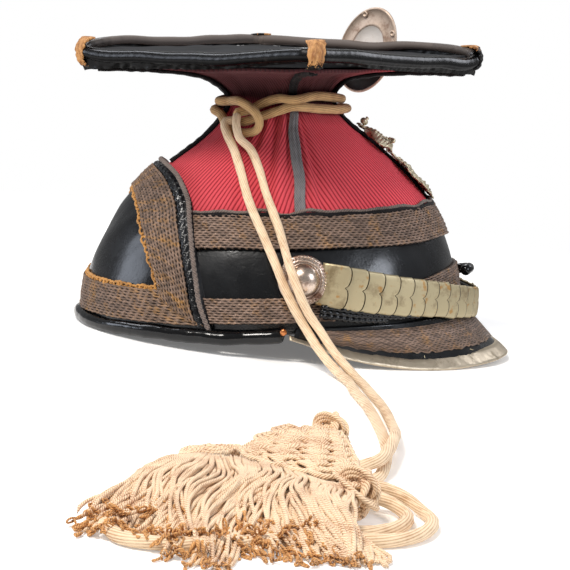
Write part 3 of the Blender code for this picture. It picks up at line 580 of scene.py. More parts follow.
RED_CLOTH = red_cloth_finish()

# %% [markdown]
# ### Tarnished lace
# The broad bands are gold lace: flat metal wire wound on silk, woven over thick cords. The gold
# has gone to a grey brown, and shines orange where it was rubbed. The weave is real shape, from
# two sizes: the width of a strand and the length of one float, where a strand lies on top. The
# finish repeats both, paints the slits between floats near black as painted shade, and adds the
# turns of wire.

# %% Tarnished lace
LACE_STRAND, LACE_FLOAT = 1.4, 3.9  # mm across the band and along it
STRAND_FULLNESS, FLOAT_FULLNESS = 0.8, 1.2  # powers: they set how narrow and short a slit is


def lace_finish(name, dark, dull, rubbed, share):
    """Share is how much of the lace still shows the rubbed colour, from 0 to 1."""
    material, tree, shader = new_finish(name, Metallic=0.35, Specular_IOR_Level=0.4)
    coords = node(tree, "TexCoord")
    at = coords.outputs["Object"]
    split = node(tree, "SeparateXYZ", {0: coords.outputs["UV"]})
    # Beside every second strand the slits are half a float further along.
    strand = node(tree, "Math", {0: split.outputs["Y"], 1: LACE_STRAND}, operation="DIVIDE")
    whole = node(tree, "Math", {0: strand}, operation="FLOOR")
    nearest = node(tree, "Math", {0: strand}, operation="ROUND")
    counted = node(tree, "Math", {0: split.outputs["X"], 1: LACE_FLOAT}, operation="DIVIDE")
    moved = node(tree, "Math", {0: nearest, 1: 0.5, 2: counted}, operation="MULTIPLY_ADD")
    strand_hump, float_hump = (
        node(tree, "Math", {0: ridges(tree, place, 1), 1: power}, operation="POWER")
        for place, power in ((strand, STRAND_FULLNESS), (moved, FLOAT_FULLNESS))
    )
    between = node(tree, "Math", {0: 1.0, 1: strand_hump}, operation="SUBTRACT")
    slit = node(tree, "Math", {0: between, 1: float_hump}, operation="MULTIPLY")
    height = node(tree, "Math", {0: 1.0, 1: slit}, operation="SUBTRACT")
    # Rubbed patches, drawn out across the band.
    stretched = node(tree, "Mapping", {"Vector": coords.outputs["UV"], "Scale": (0.11, 0.06, 1)})
    patches = node(tree, "TexNoise", {"Vector": stretched, "Scale": 1, "Detail": 4, "Roughness": 0.7})
    specks = node(tree, "TexNoise", {"Vector": at, "Scale": 420, "Detail": 3, "Roughness": 0.8})
    mottle = node(tree, "Math", {0: specks, 1: 0.45, 2: patches}, operation="MULTIPLY_ADD")
    rare = 0.82 - 0.3 * share
    gold = node(tree, "MapRange", {0: mottle, 1: rare, 2: rare + 0.24, 3: 0.0, 4: 1.0})
    metal = node(tree, "Mix", {0: gold, 6: srgb(dull), 7: srgb(rubbed)}, data_type="RGBA")
    # Each float has its own shade.
    step = node(tree, "Math", {0: moved}, operation="FLOOR")
    which = node(tree, "CombineXYZ", {0: whole, 1: step})
    chance = node(tree, "TexWhiteNoise", {"Vector": which}, noise_dimensions="2D")
    own = node(tree, "MapRange", {0: chance, 1: 0.0, 2: 1.0, 3: 0.55, 4: 1.25})
    shaded = node(tree, "HueSaturation", {"Value": own, "Color": metal})
    # Painted shade: where the weave is low, in the slits, the colour goes near black.
    lift = node(tree, "MapRange", {0: height, 1: 0.4, 2: 0.75, 3: 0.0, 4: 1.0})
    colour = node(tree, "Mix", {0: lift, 6: srgb(dark), 7: shaded}, data_type="RGBA")
    wire = node(tree, "Math", {0: split.outputs["X"], 1: 14.0}, operation="MULTIPLY")
    turns = node(tree, "Math", {0: wire}, operation="SINE")
    relief = node(tree, "Math", {0: turns, 1: 0.05, 2: height}, operation="MULTIPLY_ADD")
    rough = node(tree, "MapRange", {0: specks, 1: 0.3, 2: 0.7, 3: 0.38, 4: 0.62})
    woven = node(tree, "Bump", {"Height": relief, "Distance": 0.0004, "Strength": 0.6})
    dress(tree, shader, Base_Color=colour, Roughness=rough, Normal=woven)
    return material


LACE = lace_finish("gold_lace_tarnished", "#080605", "#7e695c", "#a67c4b", 0.24)
GUARD_LACE = lace_finish("gold_lace_rubbed", "#080605", "#735e50", "#9a7038", 0.34)

# %% [markdown]
# ### Threads, tape and cord
# The chain stitches are the same gold thread, less worn. The seams wear a grey woven tape. The
# cap lines are white wool cord that has yellowed to cream, with brown where hands and dirt got
# in. All are drawn from the UV map, whose second number runs along the thread.

# %% Threads, tape and cord


def thread_finish(name, dark, light, pitch, lean, metallic=0.0, depth=0.0003, shine=0.5):
    """Twisted thread: ridges a pitch apart along it, which lean as its strands do."""
    material, tree, shader = new_finish(
        name, Metallic=metallic, Roughness=0.75, Sheen_Weight=0.3 * shine, Specular_IOR_Level=shine
    )
    coords = node(tree, "TexCoord")
    split = node(tree, "SeparateXYZ", {0: coords.outputs["UV"]})
    round_it, along_it = split.outputs["X"], split.outputs["Y"]
    slanted = node(tree, "Math", {0: round_it, 1: lean, 2: along_it}, operation="MULTIPLY_ADD")
    wave = ridges(tree, slanted, pitch)
    at = coords.outputs["Object"]
    dirt = node(tree, "TexNoise", {"Vector": at, "Scale": 90, "Detail": 5, "Roughness": 0.7})
    fuzz = node(tree, "TexNoise", {"Vector": at, "Scale": 1400, "Detail": 3})
    # Painted shade and real dirt: the grooves between strands are painted darker, and the noise adds
    # dirt.
    both = node(tree, "Math", {0: wave, 1: 0.4, 2: dirt}, operation="MULTIPLY_ADD")
    colour = node(tree, "ValToRGB", {0: both}, stops=((0.4, dark), (0.85, light)))
    strands = node(tree, "Bump", {"Height": wave, "Distance": depth, "Strength": 0.6})
    fluff = {"Height": fuzz, "Distance": 0.00015, "Strength": 0.5, "Normal": strands}
    dress(tree, shader, Base_Color=colour, Normal=node(tree, "Bump", fluff))
    return material


GOLD_THREAD = thread_finish("gold_thread_chain_stitch", "#6b4520", "#c78f45", 0.9, 0.7, 0.3)
FRAYED_THREAD = thread_finish("gold_thread_frayed", "#9a8458", "#efe2bd", 0.9, 0.7, 0.2)
BROWN_CORD = thread_finish("silk_cord_twisted_brown", "#332a27", "#75675f", 1.6, 0.9, 0.1)
GREY_TAPE = thread_finish("wool_tape_woven_grey", "#3a3839", "#777475", 1.1, 0.6)
BLACK_TAPE = thread_finish("silk_tape_woven_black", "#080708", "#1d1a1b", 1.1, 0.6, shine=0.12)
CREAM_CORD = thread_finish("wool_cord_braided_cream", "#b98a5e", "#efd6b4", 9.0, 8.0)
# A darker copy of the cream cord for the cord round the waist, under the board: painted shade.
SHADED_CORD = thread_finish("wool_cord_braided_painted_shade", "#83592f", "#cfa873", 9.0, 8.0)
FRINGE_CORD = thread_finish("wool_fringe_twisted_cream", "#a05e2c", "#f4d9b6", 1.3, 0.9, depth=0.0004)
FRINGE_END = thread_finish("wool_fringe_looped_end", "#6b3c18", "#d99f5f", 1.2, 0.9)

# %% [markdown]
# ### Metals
# Each metal is bare, and has been handled. The chin scales are pale brass, the peak's edge is
# nickel silver, and the bosses and the cockade are silvered brass that has gone pinkish. The
# front plate is the darkest, with tarnish in its hollows. Tarnish raises the roughness as well as
# darkening the colour, because a tarnished spot stops reflecting.

# %% Metals


def metal_finish(
    name, bright, tarnish, gloss, dull, spots=0.5, size=0.012, spot_colour=None, metallic=1.0
):
    """Spots is how much of the metal is tarnished, and size how large each patch is, in metres.
    A thick dull tarnish hides some of the metal, which then counts as less metallic."""
    material, tree, shader = new_finish(name, Metallic=metallic)
    at = node(tree, "TexCoord").outputs["Object"]
    patches = node(tree, "TexNoise", {"Vector": at, "Scale": 1 / size, "Detail": 6, "Roughness": 0.65})
    start, full = 0.7 - 0.35 * spots, 0.82 - 0.25 * spots
    share = node(tree, "MapRange", {0: patches, 1: start, 2: full, 3: 0.0, 4: 1.0})
    rubs = node(tree, "Mapping", {0: at, "Rotation": (0.2, 0.4, 0.3), "Scale": (180, 1500, 1500)})
    lines = node(tree, "TexNoise", {"Vector": rubs, "Scale": 1, "Detail": 3})
    colour = node(tree, "Mix", {0: share, 6: srgb(bright), 7: srgb(tarnish)}, data_type="RGBA")
    if spot_colour:
        dots = node(tree, "TexNoise", {"Vector": at, "Scale": 190, "Detail": 2})
        where = node(tree, "MapRange", {0: dots, 1: 0.62, 2: 0.7, 3: 0.0, 4: 0.75})
        colour = node(tree, "Mix", {0: where, 6: colour, 7: srgb(spot_colour)}, data_type="RGBA")
    rough = node(tree, "MapRange", {0: share, 1: 0.0, 2: 1.0, 3: gloss, 4: dull})
    rougher = node(tree, "Math", {0: lines, 1: 0.1, 2: rough}, operation="MULTIPLY_ADD")
    dents = node(tree, "Bump", {"Height": patches, "Distance": 0.0006, "Strength": 0.35})
    brushed = {"Height": lines, "Distance": 0.00008, "Strength": 0.4, "Normal": dents}
    dress(tree, shader, Base_Color=colour, Roughness=rougher, Normal=node(tree, "Bump", brushed))
    return material


BRASS = metal_finish(
    "brass_pale_stamped", "#b5a888", "#85765a", 0.42, 0.6, 0.55, 0.012, "#ac7c3c", metallic=0.8
)
# A painted shadow for the lobed edges of the chin scales.
SCALE_SHADOW = metal_finish("brass_painted_edge_shadow", "#332b1a", "#1e1910", 0.55, 0.7, 0.5)
NICKEL = metal_finish("nickel_silver_folded", "#c6b8a2", "#8b7d68", 0.36, 0.55, 0.45, 0.01)
SILVER = metal_finish("silvered_brass_spun", "#d6c3b4", "#7d5f50", 0.22, 0.5, 0.6, 0.008)
COCKADE_SILVER = metal_finish(
    "silvered_brass_stamped", "#cbb6a4", "#9c8170", 0.45, 0.6, 0.6, 0.006, metallic=0.45
)
PALE_SILVER = metal_finish(
    "silver_matted", "#e9e2da", "#d2c6bb", 0.5, 0.65, 0.4, 0.006, metallic=0.3
)
OLD_SILVER = metal_finish(
    "silvered_brass_tarnished", "#cfc3a6", "#453a2b", 0.36, 0.6, 0.55, 0.004, metallic=0.7
)
COPPER = metal_finish("copper_rivet", "#c98150", "#7d4527", 0.3, 0.5, 0.4, 0.003)
print("finishes:", len(bpy.data.materials))

# %% [markdown]
# ## The cap line: the cords
# One cord goes twice round the waist and ends in a lark's head loop. Its two strands hang from
# the loop, pass in front of the boss, and run along the floor to the flounders. Each strand has
# a real length and lies under its own weight, so its route is given point by point and the tube
# follows a smooth curve through them. The cord is braided over a core: its fine plait is in the
# finish, and the tube itself is a little flattened and uneven, as a limp cord is.

# %% The routes of the cords
CORD_RADIUS = 2.6
WAIST_ROUTE = (
    # angle, run, out from the cloth
    (-139.5, 133.0, 9.6),
    (-136, 136.4, 7.4),
    (-131, 140.2, 4.2),
    (-124, 144.6, 3.3),
    (-108, 150.0, 3.3),
    (-90, 152.0, 6.8),
    (-60, 151.2, 3.4),
    (-30, 149.2, 3.6),
    (0, 147.2, 5.8),
    (30, 148.4, 3.6),
    (60, 149.6, 3.4),
    (90, 150.8, 6.6),
    (120, 149.6, 3.4),
    (150, 148.2, 3.6),
    (180, 147.0, 6.5),
    (200, 146.2, 4.2),
    (212, 144.4, 6.8),
    (222, 142.2, 9.8),
    (232, 138.8, 10.6),
    (239, 134.0, 9.8),
    (242, 129.2, 6.8),
    (239.5, 125.4, 3.9),
    (231, 123.8, 3.2),
    (220, 125.6, 3.2),
    (208, 130.4, 3.2),
    (195, 135.6, 3.6),
    (180, 137.4, 6.4),
    (150, 139.0, 3.6),
    (120, 140.0, 3.4),
    (90, 140.8, 6.2),
    (60, 140.0, 3.4),
    (30, 138.8, 3.6),
    (0, 137.2, 5.8),
    (-30, 139.2, 3.6),
    (-60, 141.2, 3.4),
    (-90, 142.0, 6.4),
    (-108, 140.2, 3.3),
    (-120, 136.4, 3.3),
    (-129, 133.0, 3.4),
    (-136.5, 130.0, 4.4),
)
STRAND_A_ON_CAP = (
    # angle, run, out
    (-135.6, 131.4, 5.0),
    (-142.0, 126.2, 9.3),
    (-136.5, 119.5, 6.2),
    (-127, 111.0, 3.3),
    (-117, 97.0, 3.2),
    (-110.5, 80.0, 3.2),
    (-106, 65.0, 5.2),
    (-102.5, 53.0, 5.3),
)
STRAND_B_ON_CAP = (
    # angle, run, out
    (-135.0, 133.6, 10.6),
    (-132.5, 126.0, 9.6),
    (-127, 118.0, 6.3),
    (-117.5, 112.0, 3.3),
    (-108.5, 98.0, 3.2),
    (-103.5, 82.0, 3.2),
    (-99.5, 65.0, 5.2),
    (-97.5, 55.0, 5.5),
)
STRAND_A_BELOW = (
    # x, y, height above the floor
    (-20.4, -91.4, 52.4),
    (-14.6, -97.2, 40.4),
    (-8.0, -99.4, 29.6),
    (-0.5, -101.5, 19.2),
    (6.0, -110.0, 10.6),
    (13.6, -125.0, 3.6),
    (16.0, -142.0, 2.8),
    (15.0, -164.0, 2.8),
    (15.0, -200.0, 2.8),
    (11.8, -246.0, 2.8),
    (7.0, -283.0, 2.8),
    (-1.4, -318.0, 2.8),
    (-9.4, -336.0, 2.8),
    (-24.4, -344.6, 2.8),
    (-35.9, -345.1, 2.8),
    (-44.4, -348.8, 2.8),
    (-47.8, -356.9, 2.8),
    (-44.4, -365.0, 2.8),
    (-35.9, -368.4, 4.0),
    (-26.4, -365.6, 6.6),
    (-14.4, -362.0, 7.6),
    (-4.4, -366.0, 5.6),
    (1.8, -376.0, 2.9),
    (3.0, -388.0, 2.8),
    (-1.0, -400.0, 2.8),
    (-9.4, -411.0, 2.8),
    (-20.4, -417.6, 2.8),
    (-34.4, -418.6, 2.8),
    (-54.4, -424.0, 2.8),
    (-74.4, -431.0, 2.8),
    (-90.4, -436.4, 2.8),
    (-104.0, -437.3, 2.8),
    (-113.1, -433.6, 2.8),
    (-116.8, -424.5, 2.8),
    (-113.1, -415.4, 2.8),
    (-104.0, -411.7, 2.8),
    (-92.4, -411.5, 2.8),
)
STRAND_B_BELOW = (
    # x, y, height above the floor
    (-13.4, -97.4, 52.0),
    (-8.6, -101.2, 41.6),
    (-2.2, -102.0, 30.4),
    (5.8, -104.2, 20.6),
    (12.8, -113.0, 11.6),
    (21.0, -128.0, 3.8),
    (23.0, -144.0, 2.8),
    (23.0, -166.0, 2.8),
    (22.8, -198.0, 2.8),
    (19.0, -240.0, 3.0),
    (15.4, -260.0, 5.2),
    (10.2, -282.0, 8.4),
    (3.4, -304.0, 8.6),
    (-4.4, -324.0, 8.6),
    (-13.4, -332.0, 7.4),
    (-25.4, -334.4, 4.2),
    (-42.4, -339.4, 2.8),
    (-56.0, -350.6, 2.8),
    (-56.4, -366.4, 2.8),
    (-44.4, -375.0, 2.8),
    (-31.4, -374.0, 5.0),
    (-20.4, -371.0, 6.4),
    (-10.4, -374.0, 4.6),
    (-5.8, -383.0, 2.8),
    (-8.4, -394.0, 2.8),
    (-16.4, -404.0, 2.8),
    (-27.4, -410.0, 2.8),
    (-40.4, -409.0, 2.8),
    (-50.4, -400.0, 2.8),
)

# %% The cords


def cord_line(on_cap, below=()):
    """A cord's centre line in world millimetres, a point every 2 mm."""
    points = [rested(body_point(*(np.array([n], float) for n in row)))[0] / MM for row in on_cap]
    return smooth_route(points + list(below), 2.0)


def limp(seed):
    """The radius of a soft cord, which is never quite even."""

    def radius(turn, s):
        soft = unevenness(stacked(s, 3 * np.cos(turn), 3 * np.sin(turn)), 26, seed)
        strands = np.abs(np.sin(4 * turn + s * 0.06)) * 0.10
        return CORD_RADIUS * (1.0 + 0.035 * soft + strands - 0.06)

    return radius


def cap_line(name, line, seed, finish=CREAM_CORD):
    bm = bmesh.new()
    length = tube_mesh(bm, line, limp(seed), sides=16, world=True, flat=0.9)
    print(name, "is", round(length), "mm long")
    return show(name + "_cord", bm, finish, [name]), line * MM, length * MM


# The waist cord wears the darker copy of the cream cord: painted shade.
cap_line("cap_line_waist", cord_line(WAIST_ROUTE), 1, SHADED_CORD)
strand_a, line_a, length_a = cap_line("cap_line_a", cord_line(STRAND_A_ON_CAP, STRAND_A_BELOW), 2)
strand_b, line_b, length_b = cap_line("cap_line_b", cord_line(STRAND_B_ON_CAP, STRAND_B_BELOW), 3)

# %% [markdown]
# ## Camera, floor and light
# The cap is looked at from its right side, a little from the rear and from 9 degrees above its
# own level, from about a metre away. The cap is pitched back, and the camera is turned with it,
# so that the square board lies level in the picture. The floor is a plain pale sweep. The key
# light stands at the upper left, a weaker one at the right fills the shade, and one behind lights
# the far side. Three low ones put a sheen on the black leather.

# %% The camera
azimuth, elevation, distance = math.radians(-8), math.radians(9), 1000
back = Vector(
    (
        math.sin(azimuth) * math.cos(elevation),
        -math.cos(azimuth) * math.cos(elevation),
        math.sin(elevation),
    )
)
camera_data = bpy.data.cameras.new("camera")
camera_data.sensor_width, camera_data.lens = 36, 1700 / 570 * 36
camera_data.clip_start, camera_data.clip_end = 0.01, 50
camera = bpy.data.objects.new("camera", camera_data)
bpy.context.scene.collection.objects.link(camera)
stand = Matrix.Translation((Vector((0, 0, 15)) + back * distance) * MM)
camera.matrix_world = REST @ stand @ back.to_track_quat("Z", "Y").to_matrix().to_4x4()
bpy.context.scene.camera = camera

# %% The floor, the lights and the world


def paper_finish():
    """White seamless paper. Far from the cap it fades out, so that no edge of it shows."""
    white = srgb("#fdfcfa")
    material, tree, shader = new_finish("seamless_paper_white", Base_Color=white, Roughness=0.95)
    shader.inputs["Emission Color"].default_value = srgb("#ffffff")
    shader.inputs["Emission Strength"].default_value = 0.16
    away = node(tree, "VectorMath", {0: node(tree, "TexCoord").outputs["Object"]}, operation="LENGTH")
    fade = node(tree, "MapRange", {0: away.outputs["Value"], 1: 0.4, 2: 0.7, 3: 0.0, 4: 1.0})
    clear = node(tree, "BsdfTransparent")
    both = node(tree, "MixShader", {0: fade, 1: shader.outputs[0], 2: clear.outputs[0]})
    tree.links.new(both.outputs[0], tree.nodes["Material Output"].inputs["Surface"])
    return material


def soft_light(name, place, size, power, tint):
    light = bpy.data.lights.new(name, "AREA")
    light.shape, light.size, light.energy, light.color = "DISK", size, power, srgb(tint)[:3]
    lamp = bpy.data.objects.new(name, light)
    bpy.context.scene.collection.objects.link(lamp)
    aim = (Vector(place) - Vector((0, -0.05, 0.06))).to_track_quat("Z", "Y").to_matrix().to_4x4()
    lamp.matrix_world = Matrix.Translation(place) @ aim


floor_bm = bmesh.new()
bmesh.ops.create_grid(floor_bm, x_segments=1, y_segments=1, size=1)
floor_mesh = bpy.data.meshes.new("floor")
floor_bm.to_mesh(floor_mesh)
floor_bm.free()
floor_mesh.materials.append(paper_finish())
floor = bpy.data.objects.new("floor", floor_mesh)
bpy.context.scene.collection.objects.link(floor)

soft_light("key", (-0.7, -0.85, 1.35), 0.5, 25, "#fffaf4")
soft_light("fill", (1.1, -0.9, 0.75), 0.5, 8.5, "#eef4ff")
soft_light("back", (0.1, 1.1, 1.3), 0.7, 7, "#ffffff")
soft_light("rear_sheen", (-1.25, 0.1, 0.35), 0.5, 3.5, "#e8f0ff")
soft_light("roll_sheen_rear", (-0.8, 0.45, 1.1), 0.5, 4, "#f4f7ff")
soft_light("roll_sheen_front", (1.1, 0.6, 0.8), 0.5, 2.5, "#f4f7ff")

world = bpy.data.worlds.new("studio")
world.use_nodes = True
bpy.context.scene.world = world
sky = world.node_tree
seen = node(sky, "LightPath").outputs["Is Camera Ray"]
strength = node(sky, "MapRange", {0: seen, 1: 0.0, 2: 1.0, 3: 0.28, 4: 1.0})
shell = sky.nodes["Background"]
shell.inputs["Color"].default_value = srgb("#ffffff")
sky.links.new(strength.outputs[0], shell.inputs["Strength"])
bpy.context.scene.view_settings.view_transform = "Standard"

# %% [markdown]
# ## The leather skull
# The skull is a leather bell, moulded wet over a block and varnished outside. Inside it is bare
# flesh side, which is brown. One sheet goes from the rim up under the cloth, and turns in to a
# closed crown, and its wall is 2.4 mm. Hand-moulded leather is never quite true, so the surface
# wanders by a few tenths of a millimetre: on a gloss finish that is what makes it look real.

# %% Skull
SKULL_THICK, SKULL_TUCK, SKULL_TOP_RUN = 2.4, 3.0, 127


def skull(u, v, out):
    up, inward = np.minimum(v / 0.9, 1), np.clip((v - 0.9) / 0.1, 0, 1)
    run = 1.5 + (SKULL_TOP_RUN - 1.5) * up
    tuck = -SKULL_TUCK * np.clip((run - 50) / 7, 0, 1)
    at = body_point(360 * u, run, tuck + out)
    middle = np.array([-1.0, 0, 0]) + at[..., 2:] * [0, 0, 1]
    return middle + (at - middle) * (1 - inward)[..., None] + stacked(0, 0, 2 * inward)


def hand_moulded(s, t, u, v):
    """A wander that meets itself where the sheet closes round the cap."""
    round_it = stacked(90 * np.cos(2 * math.pi * u), 90 * np.sin(2 * math.pi * u), t)
    return 0.32 * unevenness(round_it, 55, 11) + 0.07 * unevenness(round_it, 14, 12)


skull_shell = show(
    "skull_shell",
    sheet_mesh(180, 50, skull, hand_moulded),
    [PATENT, INNER_LEATHER],
    ["skull"],
)
walled(skull_shell, SKULL_THICK, inner=1)

# %% [markdown]
# ## The red cloth
# The cloth is four panels, sewn along the front, rear, left and right. It is pulled in hard at
# the waist, so it gathers there in small wrinkles, and a few deep pleats run down from the waist
# beside the near seam. Simulating cloth on such a tight form would only tear the ribs about, so
# the folds are drawn as valleys in the sheet. The UV map gives the ribs their direction: they
# run beside the front and rear ridges, and meet in an arrow at the side seams.

# %% Cloth
CLOTH_FOOT_RUN, CLOTH_THICK, PANEL_COLUMNS = 57, 1.6, 100
PLEATS = (
    # angle at the waist, angle at the foot, depth, half width in mm at the foot
    (264.5, 267.0, 3.4, 3.0),
    (259, 263.5, 2.4, 2.6),
    (252, 259.5, 3.6, 3.4),
    (246, 254.5, 2.2, 2.8),
    (240, 249.5, 1.4, 2.8),
    (273.5, 273.2, 2.6, 2.2),
    (280, 279, 0.9, 3.0),
    (97, 94, 1.4, 3.0),
    (85, 87, 1.6, 3.0),
)


def cloth(u, v, out):
    run = CLOTH_FOOT_RUN + (BOARD_RUN - 1 - CLOTH_FOOT_RUN) * v
    return body_point(360 * u, run, out)


def gathered(s, t, u, v):
    run = CLOTH_FOOT_RUN + (BOARD_RUN - 1 - CLOTH_FOOT_RUN) * v
    share = np.clip((WAIST_RUN - run) / (WAIST_RUN - CLOTH_FOOT_RUN), -0.6, 1)
    girth = s[:, -1:]
    out = np.zeros_like(s)
    for waist_angle, foot_angle, depth, half in PLEATS:
        angle = waist_angle + (foot_angle - waist_angle) * np.clip(share, 0, 1)
        away = (360 * u - angle) / 360 * girth
        wide = half * (0.45 + 0.55 * np.clip(share, 0, 1))
        fade = np.clip((share + 0.15) / 0.25, 0, 1) * (1 - 0.6 * np.clip(share, 0, 1) ** 2)
        out -= depth * fade * np.exp(-((away / wide) ** 2))
        out += 0.55 * depth * fade * np.exp(-(((np.abs(away) - 2.1 * wide) / wide) ** 2))
    round_it = stacked(np.cos(2 * math.pi * u) * 60, np.sin(2 * math.pi * u) * 60, t * 0.12)
    pinched = np.exp(-((np.abs(run - WAIST_RUN) / 22) ** 2))
    out += 0.5 * unevenness(round_it, 9, 21) * pinched + 0.35 * unevenness(round_it, 26, 22)
    to_seam = np.abs((360 * u + 45) % 90 - 45) / 360 * girth
    return out * np.clip((to_seam - 3.0) / 2.5, 0, 1)


def along_the_ribs(u, v, points):
    """Millimetres across the ribs from the nearer ridge, and millimetres up the cloth."""
    s, t = measured(points)
    ridges = np.array([0, 2, 4]) * PANEL_COLUMNS
    from_ridge = np.abs(s[:, :, None] - s[:, None, ridges]).min(axis=2)
    panel = s[:, -1:] / 4
    return from_ridge * (panel[:1] / panel) ** 0.6, t


cloth_bell = show(
    "cloth_bell",
    sheet_mesh(4 * PANEL_COLUMNS, 84, cloth, gathered, uv=along_the_ribs),
    RED_CLOTH,
    ["cloth_cover"],
)
walled(cloth_bell, CLOTH_THICK)

# %% [markdown]
# ## The seam tapes
# Each seam of the cloth is covered by a narrow woven tape with a raised rib down its middle. On
# the two sides it is grey, and above the waist, out along the underside to the corners of the
# board, it wears the black finish as painted shade. Along the front and rear ridges it is black.

# %% Seam tapes
BRAID_WIDTH, BRAID_TOP_RUN = 6.0, 232


def seam_tape(name, angle, low, finish, widening=-1.5):
    """Above the waist the tape widens by this many mm, or narrows."""

    def tape(u, v, out):
        run = low + (BRAID_TOP_RUN - low) * u
        across = unit(body_point(angle + 3, run) - body_point(angle - 3, run))
        sway = 0.6 * unevenness(run[..., None], 40, int(angle))
        wide = (0.5 - v) * (BRAID_WIDTH + widening * np.clip((run - 118) / 25, 0, 1))
        return body_point(angle, run, 0.7 + out) + across * (wide + sway)[..., None]

    def woven(s, t, u, v):
        rib = 0.75 * np.exp(-(((v - 0.58) / 0.13) ** 2)) + 0.45 * np.exp(-(((v - 0.2) / 0.1) ** 2))
        weft = 0.12 * np.sin(s * 2 * math.pi / 1.1)
        return 0.6 + rib + weft + 0.15 * unevenness(s[..., None], 9, 5)

    bm = sheet_mesh(330, 14, tape, woven, back=1.0)
    for face in bm.faces:  # above 124 mm, under the board, the tape wears the black finish: painted shade
        face.material_index = int((REST.inverted() @ face.calc_center_median()).z > 0.124)
    show("seam_tape_" + name, bm, [finish, BLACK_TAPE], ["seam_braid_" + name])


seam_tape("right", 270, 66, GREY_TAPE)
seam_tape("left", 90, 66, GREY_TAPE)
seam_tape("front", 0, 66, BLACK_TAPE, 6.0)
seam_tape("rear", 180, 101, BLACK_TAPE, 6.0)

# %% [markdown]
# ## The rear guard
# A second, shorter bell of patent leather covers the back of the skull. Its front edge is an
# arch from side to side. The arch is given by stations: at each, how far round and how high the
# edge is, and the inner edge of the lace that follows it.

# %% Rear guard
GUARD_IN = 1.7
GUARD_ARCH = (
    # station, edge_run, edge_half_angle, inner_run, inner_half_angle
    (0, 2.0, 64.5, 2.0, 51.0),
    (1, 17.0, 61.0, 17.0, 48.3),
    (2, 30.0, 59.0, 29.0, 45.3),
    (3, 46.0, 56.0, 42.0, 40.0),
    (4, 59.0, 53.0, 52.0, 34.5),
    (5, 75.0, 48.0, 63.0, 27.5),
    (6, 87.0, 39.0, 71.0, 19.5),
    (7, 94.0, 28.0, 75.5, 12.5),
    (8, 98.0, 13.0, 78.0, 5.5),
    (9, 99.0, 0.0, 78.5, 0.0),
)
ARCH_TOP, GUARD_STRIP = 9, 0.27
fine_arch = along(GUARD_ARCH, np.linspace(0, ARCH_TOP, 200))


def guard_half_angle(run):
    """The guard's half width at a run, as an angle from the rear."""
    return np.interp(run, fine_arch[:, 0], fine_arch[:, 1])


def guard(u, v, out):
    run = 1.5 + (98.9 - 1.5) * (1 - (1 - v) ** 1.5)
    half = guard_half_angle(run)
    return body_point(180 + (2 * u - 1) * half, run, GUARD_IN + out)


def guard_skin(s, t, u, v):
    wander = 0.35 * unevenness(stacked(s, t), 48, 31) + 0.06 * unevenness(stacked(s, t), 11, 32)
    return GUARD_OUT - GUARD_IN + wander * np.sin(math.pi * np.clip(v, 0, 1))


show(
    "guard_shell",
    sheet_mesh(110, 70, guard, guard_skin, back=0.01),
    PATENT,
    ["rear_guard"],
)

# %% [markdown]
# ## The lace bands
# A lace is woven: flat strands run along the band, over and under the cords that lie across it.
# Between two strands is a row of dark slits, with a bridge between each and the next, and the
# next row is half a float further along. The grid's rows and columns fall on the middles and
# edges of the strands and floats.

# %% The weave and a lace band
LACE_THICK, LACE_OUT = 1.3, 0.7


def lace_weave(columns, rows):
    """The height of the weave, from counts of columns along the band and of rows across it."""
    strand = np.round(rows) / 4
    step = np.round(columns) / 4 + 0.5 * np.floor(strand + 0.5)
    # Each float has its own thickness, scrambled from its two counts.
    own = np.sin(np.floor(strand + 1e-6) * 12.99 + np.floor(step + 1e-6) * 78.23) * 43.7
    thick = 0.85 + 0.15 * np.sin(own * 50)
    between = 1 - np.abs(np.sin(math.pi * strand)) ** STRAND_FULLNESS
    slit = np.abs(np.sin(math.pi * step)) ** FLOAT_FULLNESS
    return 1.1 * thick * (1 - between * slit)


def lace_band(name, length, width, place, finish, replaces, seed):
    """A band of about this length and width in mm, laid where place(u, v, out) says."""
    rows = 4 * round(width / LACE_STRAND)
    columns = 4 * round(length / LACE_FLOAT)

    def relief(s, t, u, v):
        s, t = u * columns / 4 * LACE_FLOAT, v * rows / 4 * LACE_STRAND
        selvedge = 0.25 * (np.exp(-t / 0.7) + np.exp(-(t.max() - t) / 0.7))
        rubbed = 0.3 * unevenness(stacked(s, t), 17, seed) + 0.12 * unevenness(s[..., None], 6, seed)
        return LACE_THICK - 0.3 + lace_weave(u * columns, v * rows) + selvedge + rubbed

    def counted(u, v, points):
        return u * columns / 4 * LACE_FLOAT, v * rows / 4 * LACE_STRAND

    bm = sheet_mesh(columns, rows, place, relief, back=0.6, uv=counted)
    return show(name, bm, finish, replaces)


def band_half_angle(run):
    """From the front to just under the guard's edge."""
    return 180 - guard_half_angle(run) + 1.5


# %% Lace round the skull
def evenly_round(run, share):
    """The angles at which an arc round the cap is cut into equal lengths. Share is from 0 to 1."""
    half = band_half_angle(np.array(float(run)))
    angles = np.linspace(-half, half, 400)
    steps = distances(body_point(angles, run))
    return np.interp(share, steps / steps[-1], angles / half)


def upper_band(u, v, out):
    wander = 0.5 * unevenness(stacked(u * 400, v * 3), 60, 41)
    run = 47 + 19 * v + wander
    return body_point(evenly_round(56, u) * band_half_angle(run), run, LACE_OUT + out)


def lower_band(u, v, out):
    run = 7.5 + 13.5 * v + 0.4 * unevenness(stacked(u * 400, v * 3), 50, 42)
    angle = evenly_round(14, u) * band_half_angle(run)
    rise = 8 * np.exp(-((angle / 60) ** 4))
    return body_point(angle, run + rise, LACE_OUT + out)


lace_band("upper_band", 402, 19, upper_band, LACE, ["upper_lace"], 51)
lace_band("lower_band", 408, 13.5, lower_band, LACE, ["lower_lace"], 52)


